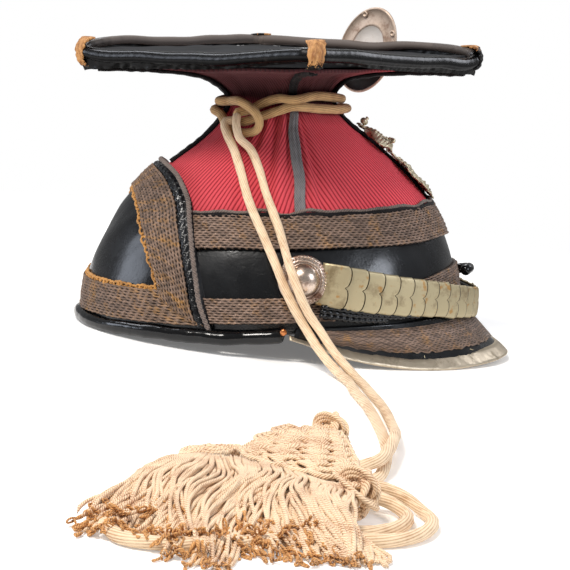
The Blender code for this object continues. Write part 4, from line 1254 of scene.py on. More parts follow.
# %% Lace on the guard
def arch_point(u, v, out):
    """On the guard: u runs along its edge from side to side, v from the edge to the lace's inside."""
    station = ARCH_TOP * (1 - np.abs(2 * u - 1))
    edge_run, edge_angle, inner_run, inner_angle = np.moveaxis(along(GUARD_ARCH, station), -1, 0)
    run = edge_run + v * (inner_run - edge_run)
    angle = edge_angle + v * (inner_angle - edge_angle)
    return body_point(180 + np.where(u < 0.5, -1, 1) * angle, run, out)


def evenly_over(share):
    """The places along the arch that cut it into equal lengths."""
    whole = np.linspace(0, 1, 400)
    steps = distances(arch_point(whole, 0.5 + 0 * whole, 4.0))
    return np.interp(share, steps / steps[-1], whole)


def arch_band(u, v, out):
    depth = 1 - v * (1 - GUARD_STRIP)
    foot = 0.055 * v
    at = evenly_over(0.075 - foot + (0.85 + 2 * foot) * u)
    return arch_point(at, depth, GUARD_OUT + LACE_OUT + 0.2 + out)


def rim_band(u, v, out):
    run = 6 + 17 * v
    half = 62.0 - 14.0 * v
    return body_point(180 + (2 * u - 1) * half, run, GUARD_OUT + LACE_OUT - 0.2 + out)


lace_band("guard_arch_band", 300, 16, arch_band, GUARD_LACE, ["guard_lace"], 53)
lace_band("guard_rim_band", 168, 17, rim_band, GUARD_LACE, ["guard_rim_lace"], 54)

# %% [markdown]
# ## Edges of the guard
# Outside the lace lies a glossy black strip, whipped down in bars, and along the very edge a
# twisted brown cord. Inside the lace, and along the top of the lace at the rim, runs an orange
# chain stitch. The cord's twist is shape: two ridges wind round the tube. A link of the chain is
# a ring bent to a teardrop, with only a few faces, since it is repeated over a hundred times.

# %% The twisted edge cord and the whipped strip


def arch_line(depth, out, low=0.0, spacing=0.9):
    """A line along the arch at this depth in from its edge, from floor to floor."""
    share = np.linspace(low, 1 - low, 300)
    return smooth_route(arch_point(evenly_over(share), depth + 0 * share, out), spacing)


def two_ply(radius, lay):
    """The radius of a cord of two strands that turn round each other once in each lay of mm."""

    def size(turn, s):
        return radius * (0.74 + 0.34 * np.abs(np.cos(turn - math.pi * s / lay)))

    return size


edge_bm = bmesh.new()
tube_mesh(edge_bm, arch_line(0.045, GUARD_OUT + 1.5, 0.006, 0.4), two_ply(1.35, 2.9), sides=12)
show("guard_edge_twist", edge_bm, BROWN_CORD, ["guard_edge_cord"])


def whipped_strip(u, v, out):
    at = evenly_over(0.012 + 0.976 * u)
    return arch_point(at, (1.08 - 0.78 * v) * GUARD_STRIP, GUARD_OUT + 0.3 + out)


def strip_crown(s, t, u, v):
    bar = s / 5.0 + 0.12 * unevenness(s[..., None], 19, 62)
    bars = np.clip(2.2 * np.abs(np.sin(math.pi * bar)), 0, 1)
    across = np.sin(math.pi * np.clip(v * 1.15, 0, 1)) ** 0.5
    return 0.9 + 1.3 * bars * across + 0.15 * unevenness(stacked(s, t), 6, 61)


strip_bm = sheet_mesh(620, 8, whipped_strip, strip_crown, back=0.6)
show("guard_whipped_strip", strip_bm, PATENT, ["guard_edge_cord"])

# %% Chain stitches


def chain_of_links(bm, line, out_line, length, width, thick, seed):
    """Teardrop links in a row along a line, each a ring of a few faces."""
    dice = np.random.default_rng(seed)
    turn = np.linspace(0, 2 * math.pi, 10)[:-1]
    for i in range(len(line) - 1):
        size = dice.uniform(0.75, 1.25, 3) * [length, width, thick]
        ahead = unit(line[i + 1] - line[i])
        out = unit(out_line[i] - line[i])
        aside = np.cross(out, ahead)
        narrow = width * 0.5 * np.sin(turn) * (1 - 0.3 * np.cos(turn))
        ring = (0.62 * size[0] * np.cos(turn))[:, None] * ahead
        ring += (narrow * size[1] / width)[:, None] * aside
        jolt = dice.normal(size=3) * 0.28
        tube_mesh(bm, line[i] + jolt + ring, 0.3 * size[2], sides=5, ring=True)


chain_bm = bmesh.new()
inner_line = arch_line(1.03, GUARD_OUT + 1.3, 0.085, 3.4)
chain_of_links(chain_bm, inner_line, arch_line(1.03, GUARD_OUT + 3.3, 0.085, 3.4), 3.5, 4.4, 2.3, 63)
rim_angles = np.linspace(180 - 47, 180 + 47, 240)
rim_chain = smooth_route(body_point(rim_angles, 23.6, GUARD_OUT + 1.4), 3.4)
rim_chain_out = smooth_route(body_point(rim_angles, 23.6, GUARD_OUT + 3.4), 3.4)
count = min(len(rim_chain), len(rim_chain_out))
chain_of_links(chain_bm, rim_chain[:count], rim_chain_out[:count], 3.5, 4.2, 2.6, 64)
show("guard_chain_stitch", chain_bm, GOLD_THREAD)

# %% [markdown]
# ## Piping along the upper lace
# A thin brown piping hides the top edge of the upper lace. It was stretched when it was sewn and
# has since let go, so it waves, and below it a black binding shows in the gap.

# %% Piping
piping_share = np.linspace(0, 1, 360)
piping_angles = evenly_round(68, piping_share) * (band_half_angle(np.array(68.0)) + 0.6)
wave = 0.9 * unevenness(piping_share[:, None] * 400, 34, 71)
piping_bm = bmesh.new()
piping_line = smooth_route(body_point(piping_angles, 68.6 + wave, 1.9 + 0.3 * wave), 1.5)
tube_mesh(piping_bm, piping_line, two_ply(1.05, 5.0), sides=8)
show("upper_piping", piping_bm, BROWN_CORD)

binding_bm = bmesh.new()
binding_line = smooth_route(body_point(piping_angles, 66.6 + 0.4 * wave, 1.3), 2.0)
tube_mesh(binding_bm, binding_line, 1.5, sides=8, flat=1.2)
show("upper_binding", binding_bm, BLACK_TAPE)

# %% [markdown]
# ## The rolled rim
# The rim is a strip of patent leather rolled over the skull's lower edge. Rolling a flat strip
# round a curve pushes it into creases, so the tube's radius wrinkles and lumps along it. The
# wrinkles catch small white glints.

# %% Rim


def creased(radius, wrinkle, lump, seed):
    def size(turn, s):
        lumps = unevenness(stacked(s, 6 * np.cos(turn), 6 * np.sin(turn)), 34, seed)
        wrinkles = unevenness(stacked(s, 2 * np.cos(turn), 2 * np.sin(turn)), 5, seed + 1)
        return radius * (1 + lump * lumps + wrinkle * wrinkles)

    return size


rim_line = smooth_route(rim_point(np.linspace(RIM_END, 360 - RIM_END, 240)), 1.2)
rim_line[:, 2] += 0.5 * unevenness(rim_line[:, :2], 60, 72)
tucked = 2.2 * np.clip((-rim_line[:, 0] - 20) / 50, 0, 1)  # under the guard's lace at the rear
rim_line[:, :2] *= 1 - (tucked / np.hypot(rim_line[:, 0], rim_line[:, 1]))[:, None]
rim_bm = bmesh.new()
tube_mesh(rim_bm, rim_line, creased(RIM_RADIUS + 0.3, 0.022, 0.06, 73), sides=18, flat=0.86)
show("rim_roll", rim_bm, RIM_PATENT, ["rim_binding"])

# %% [markdown]
# ## The peak
# The peak is a crescent of thick patent leather that droops steeply at the front. A broad lace
# lies round its middle, and its outer edge is bound with a strip of nickel silver, folded over
# and hammered down. The strip's section is drawn once, in millimetres out from the edge and up
# from it, and swept round. It is dented where the cap has been dropped.

# %% Peak, its lace and its metal edge


def peak_leather(u, v, out):
    angle = (1 - 2 * u) * (PEAK_END - 1)
    return peak_point(angle, 0.02 + 0.98 * v, -out)


def peak_unevenness(s, t, u, v):
    return 0.12 * unevenness(stacked(s, t), 30, 74)


peak_bm = sheet_mesh(160, 22, peak_leather, peak_unevenness)
peak_shell = show("peak_shell", peak_bm, PATENT, ["peak"])
walled(peak_shell, PEAK_THICK)


def peak_band(u, v, out):
    angle = (1 - 2 * u) * (PEAK_END - 8)
    ragged = 0.018 * unevenness(stacked(u * 300, v * 2), 9, 75) * v
    return peak_point(angle, 0.14 + 0.58 * v + ragged, -LACE_OUT - out + 0.9)


lace_band("peak_band", 300, 20, peak_band, LACE, ["peak_lace"], 55)
TRIM_SECTION = (
    # out, up
    (-4.4, 3.4),
    (-3.9, 4.6),
    (-3.1, 5.0),
    (-0.9, 3.6),
    (1.4, 1.5),
    (3.2, -0.2),
    (4.1, -1.2),
    (4.2, -1.9),
    (3.4, -2.38),
    (1.6, -2.4),
    (-0.6, -1.8),
    (-3.4, 1.6),
)


def trim(u, v, out):
    angle = (2 * u - 1) * PEAK_END
    section = np.array(TRIM_SECTION + TRIM_SECTION[:1])
    i = np.round(v * len(TRIM_SECTION)).astype(int)
    sharp = np.clip((PEAK_END + 2 - np.abs(angle)) / 14, 0.35, 1)
    outward = unit((peak_edge(angle) - bare_peak_point(angle, np.ones_like(angle))) * [1, 1, 0])
    dent = 0.3 * unevenness(stacked(angle * 2.2, 0 * angle), 26, 76)
    dent += 0.22 * unevenness(stacked(angle * 2.2, section[i, 1] * 2), 7, 77)
    top = (section[i, 1] > -1.3) & (section[i, 0] > -3)
    reach = (section[i, 0] + dent * top) * sharp
    up = section[i, 1] * sharp
    return bare_peak_point(angle, np.ones_like(angle)) + outward * reach[..., None] + stacked(
        0, 0, np.maximum(up, -2.4)
    )


trim_bm = sheet_mesh(260, len(TRIM_SECTION), trim)
bmesh.ops.holes_fill(trim_bm, edges=[e for e in trim_bm.edges if e.is_boundary], sides=0)
bmesh.ops.recalc_face_normals(trim_bm, faces=trim_bm.faces)
show("peak_metal_edge", trim_bm, NICKEL, ["peak_trim"])

# %% Loose threads at the edge of the peak's lace


def hairs(name, finish, starts, ways, lengths, radius, seed):
    """Loose thread ends: thin curved tubes that start at points and wander along a direction."""
    dice = np.random.default_rng(seed)
    bm = bmesh.new()
    for start, way, length in zip(starts, ways, lengths):
        way = unit(way + dice.normal(size=3) * 0.45)
        bend = dice.normal(size=3) * 0.35
        t = np.linspace(0, 1, 6)[:, None]
        line = start + (way * t + bend * t**2) * length
        tube_mesh(bm, line, radius, sides=4)
    return show(name, bm, finish)


dice = np.random.default_rng(78)
angles = np.concatenate([dice.uniform(-74, 74, 80), dice.uniform(-62, -20, 130)])
roots = peak_point(angles, dice.uniform(0.66, 0.72, len(angles)), -2.0)
tips = peak_point(angles + dice.uniform(-1, 1, len(angles)), 0.95, -2.6)
hairs(
    "peak_lace_threads", FRAYED_THREAD, roots, unit(tips - roots),
    dice.uniform(1.5, 4.5, len(angles)), 0.17, 79,
)

# %% [markdown]
# ## The chin scales
# A chin chain of stamped brass scales runs from boss to boss round the front, sewn to a leather
# strap. Each scale covers the root of the next, and ends in two shallow lobes with a point
# between them. A grid makes one scale: its columns run from the root to the lobed end, so the
# end follows the lobes without any cutting. Its last column of faces wears a darker finish,
# which is a painted shadow under the edge.

# %% The line of the chain
CHAIN = (
    # station, x, y, height
    (0, 5.0, 92.4, 30.0),
    (1, 22.0, 90.4, 26.5),
    (2, 40.0, 84.4, 22.5),
    (3, 57.6, 75.8, 19.0),
    (4, 73.8, 64.2, 15.5),
    (5, 89.2, 51.0, 11.8),
    (6, 101.4, 35.2, 8.6),
    (7, 110.4, 18.2, 6.2),
    (8, 113.8, 0.0, 5.3),
)
SCALES_A_SIDE, FIRST_SCALE_START, FIRST_SCALE_LENGTH = 12, 6.4, 4.0
SCALE_PITCH, SCALE_LAP = 10.4, 6.6
SCALE_TALL, SCALE_SLOPE, SCALE_THICK, FRONT_SCALES = (24.0, 15.4), 0.16, 0.7, 4
SCALE_FINISHES = [BRASS, SCALE_SHADOW]
half_chain = [row[1:] for row in CHAIN]
far_chain = [(x, -y, z) for x, y, z in reversed(half_chain[:-1])]
CHAIN_LINE = smooth_route(half_chain + far_chain, 1.0)
CHAIN_STEPS = distances(CHAIN_LINE)
CHAIN_HALF = CHAIN_STEPS[-1] / 2


def chain_frame(distance, side=1):
    """Points on the chain's line, with their directions: forwards, up and out."""
    flip = np.array([1, side, 1])

    def at(d):
        return stacked(*(np.interp(d, CHAIN_STEPS, CHAIN_LINE[:, axis]) for axis in range(3)))

    forward = unit(at(distance + 0.6) - at(distance - 0.6)) * flip
    up = unit(np.array([0, 0, 1.0]) - forward * forward[..., 2:])
    return at(distance) * flip, forward, up, np.cross(up, forward) * side


# %% One scale, and the row of them


def scale_mesh(bm, start, length, tall, side, slope, lobe_depth=2.4, dip=0.0):
    """Adds a scale whose root is at start. It leans out, so that its end lies over the next. Dip
    sinks its root."""
    layer = bm.loops.layers.uv.verify()
    at, _, up, _ = (a[0] for a in chain_frame(np.array([start]), side))
    end = chain_frame(np.array([start + length]), side)[0][0]
    forward = unit(end - at)
    out = np.cross(up, forward) * side
    dice = np.random.default_rng(int(start * 10) + side)
    tilt, lift = dice.normal() * 0.02, dice.uniform(0, 0.25)

    def settle(u, v):
        w = (2 * v - 1) if side < 0 else (1 - 2 * v)
        lobe = np.sqrt(np.maximum(1 - (2 * np.abs(w) - 1) ** 2, 0))
        x = length - lobe_depth * (1 - lobe) * (1 + 0.25 * np.sign(w) * tilt)
        share = 1 - (1 - u) ** 1.25
        x = x * share
        y = w * tall / 2 * (1 - 0.03 * (1 - u)) + tilt * x
        crown = 0.45 * (1 - w**2) - 1.25 * np.clip(np.abs(w) - 0.82, 0, 1)
        lip = -0.35 * np.clip((share - 0.93) / 0.07, 0, 1) ** 2
        rise = slope * x + crown + lip + lift - dip * (1 - share) ** 2
        points = at + x[..., None] * forward + y[..., None] * up + rise[..., None] * out
        return rested(points), stacked(share * length, y)

    grid_mesh(bm, 12, 20, settle, layer)
    # The faces by the lobed edge wear the dark finish: a painted shadow under the edge.
    for face in bm.faces:
        root = min(loop[layer].uv.x for loop in face.loops)
        face.material_index = int(root > length - 1.3)


def chin_scale(index, start, length, side):
    share = start / CHAIN_HALF
    tall = SCALE_TALL[0] + (SCALE_TALL[1] - SCALE_TALL[0]) * share
    bm = bmesh.new()
    if index == 0:  # its root goes on under the boss
        scale_mesh(bm, start - 5, length + SCALE_LAP + 5, tall, side, 0.19, dip=3.0)
    else:
        scale_mesh(bm, start, length + SCALE_LAP, tall, side, SCALE_SLOPE)
    return bm


for side_name, side in (("left", 1), ("right", -1)):
    start = FIRST_SCALE_START
    for index in range(SCALES_A_SIDE):
        length = FIRST_SCALE_LENGTH if index == 0 else SCALE_PITCH
        scale_name = f"scale_{side_name}_{index + 1:02d}"
        bm = chin_scale(index, start, length, side)
        scale = show(scale_name, bm, SCALE_FINISHES, ["chin_" + scale_name])
        walled(scale, SCALE_THICK)
        start += length

front_bm = bmesh.new()
reach = (CHAIN_HALF - start) / FRONT_SCALES
for side in (1, -1):
    for i in range(FRONT_SCALES):
        scale_mesh(front_bm, start + reach * i, reach + 5.0, 15.2, side, 0.14 - 0.02 * i, 1.8)
front_scales = show("scales_front", front_bm, SCALE_FINISHES, ["chin_scales_front"])
walled(front_scales, SCALE_THICK)

# %% The strap under the scales, with its plaited lower edge


def strap(u, v, out):
    distance = 7.5 + 2 * (CHAIN_HALF - 7.5) * u
    at, _, up, outward = chain_frame(distance)
    tall = SCALE_TALL[1] - 3.6 + (SCALE_TALL[0] - SCALE_TALL[1]) * np.abs(2 * u - 1)
    return at + up * ((v - 0.5) * tall)[..., None] + outward * (out - 1.0)[..., None]


def limp_leather(s, t, u, v):
    return 0.1 * unevenness(stacked(s, t), 8, 81)


strap_bm = sheet_mesh(180, 6, strap, limp_leather, back=1.4)
bmesh.ops.reverse_faces(strap_bm, faces=strap_bm.faces)
show("strap_leather", strap_bm, BLACK_LEATHER, ["chin_strap"])

plait_bm = bmesh.new()
for side in (1, -1):
    reach = np.linspace(4, 70, 80)
    at, _, up, outward = chain_frame(reach, side)
    tall = SCALE_TALL[0] + (SCALE_TALL[1] - SCALE_TALL[0]) * reach / CHAIN_HALF
    for row, drop in enumerate((0.2, 2.6, 5.0)):
        taper = np.clip((70 - reach) / 46, 0, 1) ** 0.7
        line = at - up * (tall / 2 + drop * taper)[:, None] - outward * (0.9 + 0.25 * row)
        line = line[reach < 70 - 12 * row]

        def plaited(turn, s):
            return 1.6 * (0.62 + 0.5 * np.abs(np.cos(turn + (-1) ** row * math.pi * s / 3.6)))

        tube_mesh(plait_bm, smooth_route(line, 0.6), plaited)
show("strap_plait", plait_bm, RIM_PATENT)

# %% [markdown]
# ## The bosses
# Each end of the chain hangs from a silvered boss: a polished dome, a ring of twisted rope and a
# ring of beads. A turned part is a profile spun about its axis. The rope is a tube whose two
# plies turn, and the beads are small spheres set round.

# %% Bosses
BOSS_PLACE = (-3.0, 88.6, 31.5)
BOSS_PROFILE = (
    (0, 9.0), (1.6, 8.95), (3.2, 8.65), (4.8, 8.05), (6.2, 7.1), (7.4, 5.9), (8.2, 4.7), (8.7, 3.6),
    (8.9, 2.9), (9.3, 2.5), (9.8, 2.6), (10.2, 2.3), (11.0, 2.2), (11.8, 2.3), (12.2, 1.9),
    (13.0, 1.9), (13.5, 1.4), (13.6, 0.7), (13.3, 0.0),
)  # fmt: skip


def spun(bm, profile, steps, matrix):
    """A profile of (radius, height) rows in mm, spun about Z and closed below, then placed."""
    verts = [bm.verts.new((radius, 0, height)) for radius, height in profile]
    verts.append(bm.verts.new((0, 0, profile[-1][1])))
    edges = [bm.edges.new(pair) for pair in zip(verts, verts[1:])]
    before = set(bm.verts) - set(verts)
    bmesh.ops.spin(
        bm, geom=verts + edges, cent=(0, 0, 0), axis=(0, 0, 1),
        angle=2 * math.pi, steps=steps, use_merge=True,
    )  # fmt: skip
    made = [vert for vert in bm.verts if vert not in before]
    bmesh.ops.remove_doubles(bm, verts=made, dist=1e-5)
    made = [vert for vert in bm.verts if vert not in before]
    faces = list({face for vert in made for face in vert.link_faces})
    bmesh.ops.recalc_face_normals(bm, faces=faces)
    bmesh.ops.transform(bm, matrix=matrix, verts=made)
    return made


def facing(place, direction):
    """Millimetres about a place in the level cap, with Z turned to a direction, as it rests."""
    turn = Vector(direction).to_track_quat("Z", "Y").to_matrix().to_4x4()
    return REST @ Matrix.Translation(Vector(place) * MM) @ turn @ Matrix.Scale(MM, 4)


for name, side in (("boss_left", 1), ("boss_right", -1)):
    matrix = facing((BOSS_PLACE[0], side * BOSS_PLACE[1], BOSS_PLACE[2]), (0, side, 0.12))
    boss_bm = bmesh.new()
    spun(boss_bm, BOSS_PROFILE, 64, matrix)
    ring = np.linspace(0, 2 * math.pi, 97)[:-1]
    rope = [matrix @ Vector((10.6 * math.cos(turn), 10.6 * math.sin(turn), 2.5)) for turn in ring]
    tube_mesh(boss_bm, np.array(rope) / MM, two_ply(0.85, 2.2), sides=8, ring=True, world=True)
    for turn in np.arange(0, 360, 8.2):
        spot = (12.5 * math.cos(math.radians(turn)), 12.5 * math.sin(math.radians(turn)), 2.1)
        bead = matrix @ Matrix.Translation(spot)
        bmesh.ops.create_icosphere(boss_bm, subdivisions=1, radius=0.72, matrix=bead)
    show(name + "_spun", boss_bm, SILVER, [name])

RIVET_PROFILE = ((0, 1.3), (1.0, 1.15), (1.7, 0.7), (2.0, 0))
rivet_bm = bmesh.new()
for angle in (262, 98):
    spot = rim_point(np.array([float(angle)]))[0] + [3.0, 0, 3.4]
    outward = unit(spot * [0.2, 1, 0])
    spun(rivet_bm, RIVET_PROFILE, 16, facing(spot + outward * 3.0, outward))
show("edge_rivets", rivet_bm, COPPER)

# %% The strap's keeper: a leather tube, rolled from a strip
keeper_x, keeper_y, keeper_z = 106.5, 9.0, 21.0
keeper_line = smooth_route(
    [
        (keeper_x - 1, keeper_y + 2, keeper_z),
        (keeper_x + 4, keeper_y - 4, keeper_z + 1.5),
        (keeper_x + 3, keeper_y - 14, keeper_z + 2.5),
        (keeper_x - 2, keeper_y - 21, keeper_z + 2),
    ],
    0.8,
)
keeper_bm = bmesh.new()


def rolled_strip(turn, s):
    """A roll with the strip's edge showing as a step along it, and a waist at its middle."""
    step = 0.35 * ((turn / (2 * math.pi) + s * 0.012) % 1)
    waist = 1 - 0.1 * np.sin(s / 26 * math.pi)
    return (3.0 + step + 0.2 * unevenness(stacked(s, turn * 2), 8, 83)) * waist


tube_mesh(keeper_bm, keeper_line, rolled_strip, sides=24)
show("keeper_roll", keeper_bm, RIM_PATENT, ["strap_keeper"])

# %% [markdown]
# ## The front plate
# The plate is stamped from thin silvered brass: a sunburst with a beaded oval and a laurel
# wreath, and above it an open crown. It stands off the cloth and curves round the front seam.
# A stamping is one sheet, so one grid makes it. A height is added up from simple parts: rays from
# the angle round the centre, beads and leaves from waves round the oval, and hoops for the
# crown. Faces outside the outline, and in the crown's openings, are then removed, and the sheet
# gets its wall. The bright ground shows through the openings, as it does on the real plate.

# %% Front plate
PLATE_OUT, PLATE_LOW, PLATE_HIGH, PLATE_WIDE = 2.3, 66, 128, 22
STAR_RUN, CROWN_FOOT, CROWN_TOP = 84, 105, 122


def plate_parts(w, run):
    """Polar places on the plate: round the star, and round the oval at its middle."""
    up = run - STAR_RUN
    turn = np.arctan2(up, w)
    return np.hypot(w, up), turn, np.hypot(w / 7.2, up / 9.2)


def crown_half(run):
    share = np.clip((run - CROWN_FOOT) / (CROWN_TOP - CROWN_FOOT), 0, 1)
    return 8.4 + 7.0 * np.sin(math.pi * share**0.8) - 5.5 * share**3


def plate_kept(w, run):
    """Whether a place lies on the plate's metal."""
    r, turn, oval = plate_parts(w, run)
    star = r < 16.6 + 2.6 * np.abs(np.cos(8 * turn)) ** 0.5 - 2.2 * np.abs(np.sin(turn)) ** 3
    neck = (np.abs(w) < 7.0 - 0.22 * np.abs(run - 102)) & (run > 92) & (run < 108)
    crown = (np.abs(w) < crown_half(run)) & (run > CROWN_FOOT) & (run < CROWN_TOP)
    hoops = np.abs(np.cos(1.5 * math.pi * w / np.maximum(crown_half(run), 1)))
    opening = (hoops < 0.5) & (run > 110.5) & (run < 118.8) & (np.abs(w) < crown_half(run) - 1.6)
    finial = np.hypot(w, run - 123.6) < 3.2
    return star | neck | (crown & ~opening) | finial


def plate_height(w, run):
    r, turn, oval = plate_parts(w, run)
    rays = 0.9 * np.abs(np.cos(12 * turn)) * np.clip((r - 9) / 5, 0, 1)
    rays += 1.4 * np.clip(1 - r / 22, 0, 1)
    shield = 1.5 * np.sqrt(np.clip(1 - (oval / 0.95) ** 2, 0, 1))
    beads = 1.5 * np.exp(-(((oval - 1.1) / 0.09) ** 2)) * (0.55 + 0.45 * np.abs(np.sin(15 * turn)))
    leaf_wave = np.abs(np.sin(11 * turn + 5 * (oval - 1.5)))
    leaves = 1.7 * np.exp(-(((oval - 1.5) / 0.17) ** 2)) * leaf_wave
    star = np.maximum.reduce([rays, shield + 1.0, beads + 1.0, leaves + 0.9]) * (r < 21)
    half = np.maximum(crown_half(run), 1)
    round_ = np.sqrt(np.clip(1 - (w / (half + 1.5)) ** 2, 0, 1))
    share = np.clip((run - CROWN_FOOT) / (CROWN_TOP - CROWN_FOOT), 0, 1)
    bulge = 4.6 * round_ * np.sin(math.pi * (0.25 + 0.6 * share))
    hoops = 0.8 * np.abs(np.cos(1.5 * math.pi * w / half)) ** 2 * (0.7 + 0.3 * np.cos(run * 3.2))
    band = 1.3 * np.exp(-(((run - 107.5) / 1.5) ** 2)) * (0.6 + 0.4 * np.abs(np.sin(w * 0.95)))
    crown = (bulge + hoops + band) * np.clip((run - 103) / 3, 0, 1)
    neck = 0.9 * np.exp(-(((run - 101.5) / 2.2) ** 2)) * (1 + 0.4 * np.cos(w * 1.6))
    return np.where(run > 104, crown, np.maximum(star, neck)) + 0.4


def plate(u, v, out):
    run = PLATE_LOW + (PLATE_HIGH - PLATE_LOW) * v
    wide = PLATE_WIDE * (2 * u - 1)
    half, roundness = along(BODY, run)[..., 3], along(BODY, run)[..., 4]
    angle = np.degrees(np.arcsin(np.minimum(1, (np.abs(wide) / half) ** (roundness / 2))))
    return body_point(np.sign(wide) * angle, run, PLATE_OUT + out)


def plate_relief(s, t, u, v):
    w, run = PLATE_WIDE * (2 * u - 1), PLATE_LOW + (PLATE_HIGH - PLATE_LOW) * v
    curl = 1.6 * np.clip((np.hypot(w, run - STAR_RUN) - 13) / 6, 0, 1) ** 2 * (run < 96)
    bent = 0.5 * unevenness(stacked(w, run), 22, 91) + 0.15 * unevenness(stacked(w, run), 6, 92)
    return plate_height(w, run) + curl + bent


plate_bm = sheet_mesh(
    104, 146, plate, plate_relief,
    uv=lambda u, v, points: (PLATE_WIDE * (2 * u - 1), PLATE_LOW + (PLATE_HIGH - PLATE_LOW) * v),
)  # fmt: skip
plate_layer = plate_bm.loops.layers.uv["UVMap"]
spare = []
for face in plate_bm.faces:
    w, run = (sum(loop[plate_layer].uv[i] for loop in face.loops) / len(face.loops) for i in (0, 1))
    if not plate_kept(np.array(w), np.array(run)):
        spare.append(face)
bmesh.ops.delete(plate_bm, geom=spare, context="FACES")
plate_piece = show("plate_stamped", plate_bm, OLD_SILVER, ["front_plate"])
walled(plate_piece, 0.7)

finial_bm = bmesh.new()
top = body_point(np.array([0.0]), np.array([124.5]), 7.0)[0]
spun(
    finial_bm,
    ((0, 3.4), (0.9, 3.2), (1.2, 2.6), (0.7, 2.0), (1.9, 1.4), (2.5, 0.4), (2.3, -0.9), (1.3, -1.8)),
    20,
    facing(top, (0.7, 0, 0.7)),
)
for turn in range(-2, 3):
    bead = facing(body_point(np.array([turn * 6.0]), np.array([107.5]), 9.4)[0], (1, 0, 0.6))
    bmesh.ops.create_icosphere(finial_bm, subdivisions=2, radius=1.3, matrix=bead)
show("plate_finial", finial_bm, OLD_SILVER)

# %% [markdown]
# ## The cockade
# The cockade is an oval badge that stands at the left of the front, and rises above the board.
# From the wearer's right its back shows: a raised rim, a broad band with two tubular rivets, and
# a pale oval in the middle. Its lower end, under the board, wears black leather as painted shade.
# It is spun as a circle and stretched to an oval, which keeps its rings parallel.

# %% Cockade
COCKADE_PLACE, COCKADE_SIZE, COCKADE_TURN = (59.6, 61.6, 150.5), (39.0, 56.0), 30.0
stand = Matrix(((-1, 0, 1), (1, 0, 1), (0, math.sqrt(2), 0))).normalized().to_4x4()
cockade_at = REST @ Matrix.Translation(Vector(COCKADE_PLACE) * MM) @ stand
cockade_at = cockade_at @ Matrix.Rotation(math.radians(COCKADE_TURN), 4, "Z")
stretch = Matrix.Diagonal((COCKADE_SIZE[0] / 2 * MM, COCKADE_SIZE[1] / 2 * MM, MM, 1))
COCKADE_PROFILE = (
    # share of the radius, height: the front from its middle to the rim, then the back
    (0.0, 2.2), (0.12, 2.1), (0.22, 1.8), (0.26, 1.3), (0.32, 1.5), (0.5, 1.4), (0.62, 1.2),
    (0.66, 0.8), (0.72, 1.1), (0.84, 0.9), (0.9, 0.5), (0.95, 0.8), (0.985, 0.6), (1.0, 0.1),
    (0.995, -0.7), (0.965, -1.2), (0.945, -0.9), (0.93, -0.5), (0.8, -0.35), (0.66, -0.4),
    (0.625, -0.9), (0.59, -1.0), (0.565, -0.6), (0.55, -0.3), (0.3, -0.25), (0.0, -0.2),
)  # fmt: skip
cockade_bm = bmesh.new()
verts = [cockade_bm.verts.new((radius, 0, height)) for radius, height in COCKADE_PROFILE]
edges = [cockade_bm.edges.new(pair) for pair in zip(verts, verts[1:])]
bmesh.ops.spin(
    cockade_bm, geom=verts + edges, cent=(0, 0, 0), axis=(0, 0, 1),
    angle=2 * math.pi, steps=96, use_merge=True,
)  # fmt: skip
bmesh.ops.remove_doubles(cockade_bm, verts=cockade_bm.verts, dist=1e-5)
bmesh.ops.recalc_face_normals(cockade_bm, faces=cockade_bm.faces)
for face in cockade_bm.faces:
    middle = face.calc_center_median()
    radius = math.hypot(middle.x, middle.y)
    if middle.z < 0:
        face.material_index = 1 if radius < 0.56 else 0
        # Painted shade: the lower end of the back, under the board, wears black leather.
        if middle.y < -0.2 and radius < 0.94:
            face.material_index = 2
    for vert in face.verts:
        if middle.z > 0.3 and 0.3 < radius < 0.9:
            turn = math.atan2(vert.co.y, vert.co.x)
            vert.co.z += 0.03 * math.cos(24 * turn)
bmesh.ops.transform(cockade_bm, matrix=cockade_at @ stretch, verts=cockade_bm.verts)
HOLLOW_RIVET = ((0, 0.5), (0.8, 0.5), (0.95, 1.2), (1.5, 1.35), (1.85, 1.0), (1.9, 0.0))
for x, y in ((-11.6, 18.6), (11.6, 18.6)):
    place = Matrix.Translation(Vector((x, y, -0.4)) * MM)
    rivet_at = cockade_at @ place @ Matrix.Rotation(math.pi, 4, "X")
    spun(cockade_bm, HOLLOW_RIVET, 20, rivet_at @ Matrix.Scale(MM, 4))
show(
    "cockade_badge",
    cockade_bm,
    [COCKADE_SILVER, PALE_SILVER, BLACK_LEATHER],
    ["cockade"],
)

# %% [markdown]
# ## The board and its rolled edge
# The square board is a lid of leather over card, covered in dull varnished leather, with a short
# skirt down to the cloth. A roll of leather runs round its edge. The side towards the wearer's
# right has sagged, and each stretch of the roll has its own height and thickness. Under the roll
# a narrow lip of thin leather is crumpled, and its creases catch the light. Towards the corners the
# lip reaches down over the cloth's edge as a dark sheet, which is painted shade.

# %% Board
BOARD_CELLS = 44
ROLL = (
    # station, height, radius
    (0.06, 150.5, 2.6),
    (0.5, 153.2, 2.6),
    (0.94, 156.4, 2.9),
    (1.06, 156.8, 2.9),
    (1.5, 156.2, 2.7),
    (1.94, 155.4, 2.8),
    (2.07, 150.2, 3.6),
    (2.3, 149.0, 3.6),
    (2.55, 148.6, 3.6),
    (2.75, 149.6, 3.5),
    (2.95, 151.6, 3.6),
    (3.06, 151.2, 3.6),
    (3.25, 149.6, 3.7),
    (3.5, 146.8, 3.6),
    (3.75, 145.2, 3.6),
    (3.93, 144.2, 3.6),
)


def board_place(p, q, reach):
    """Where |p| + |q| reaches 1 at the board's edge, with its corners at the ends."""
    shape = reach * (1 - BOARD_HOLLOW * 4 * np.abs(p * q))
    return BOARD_CENTRE_X + p * shape, q * shape


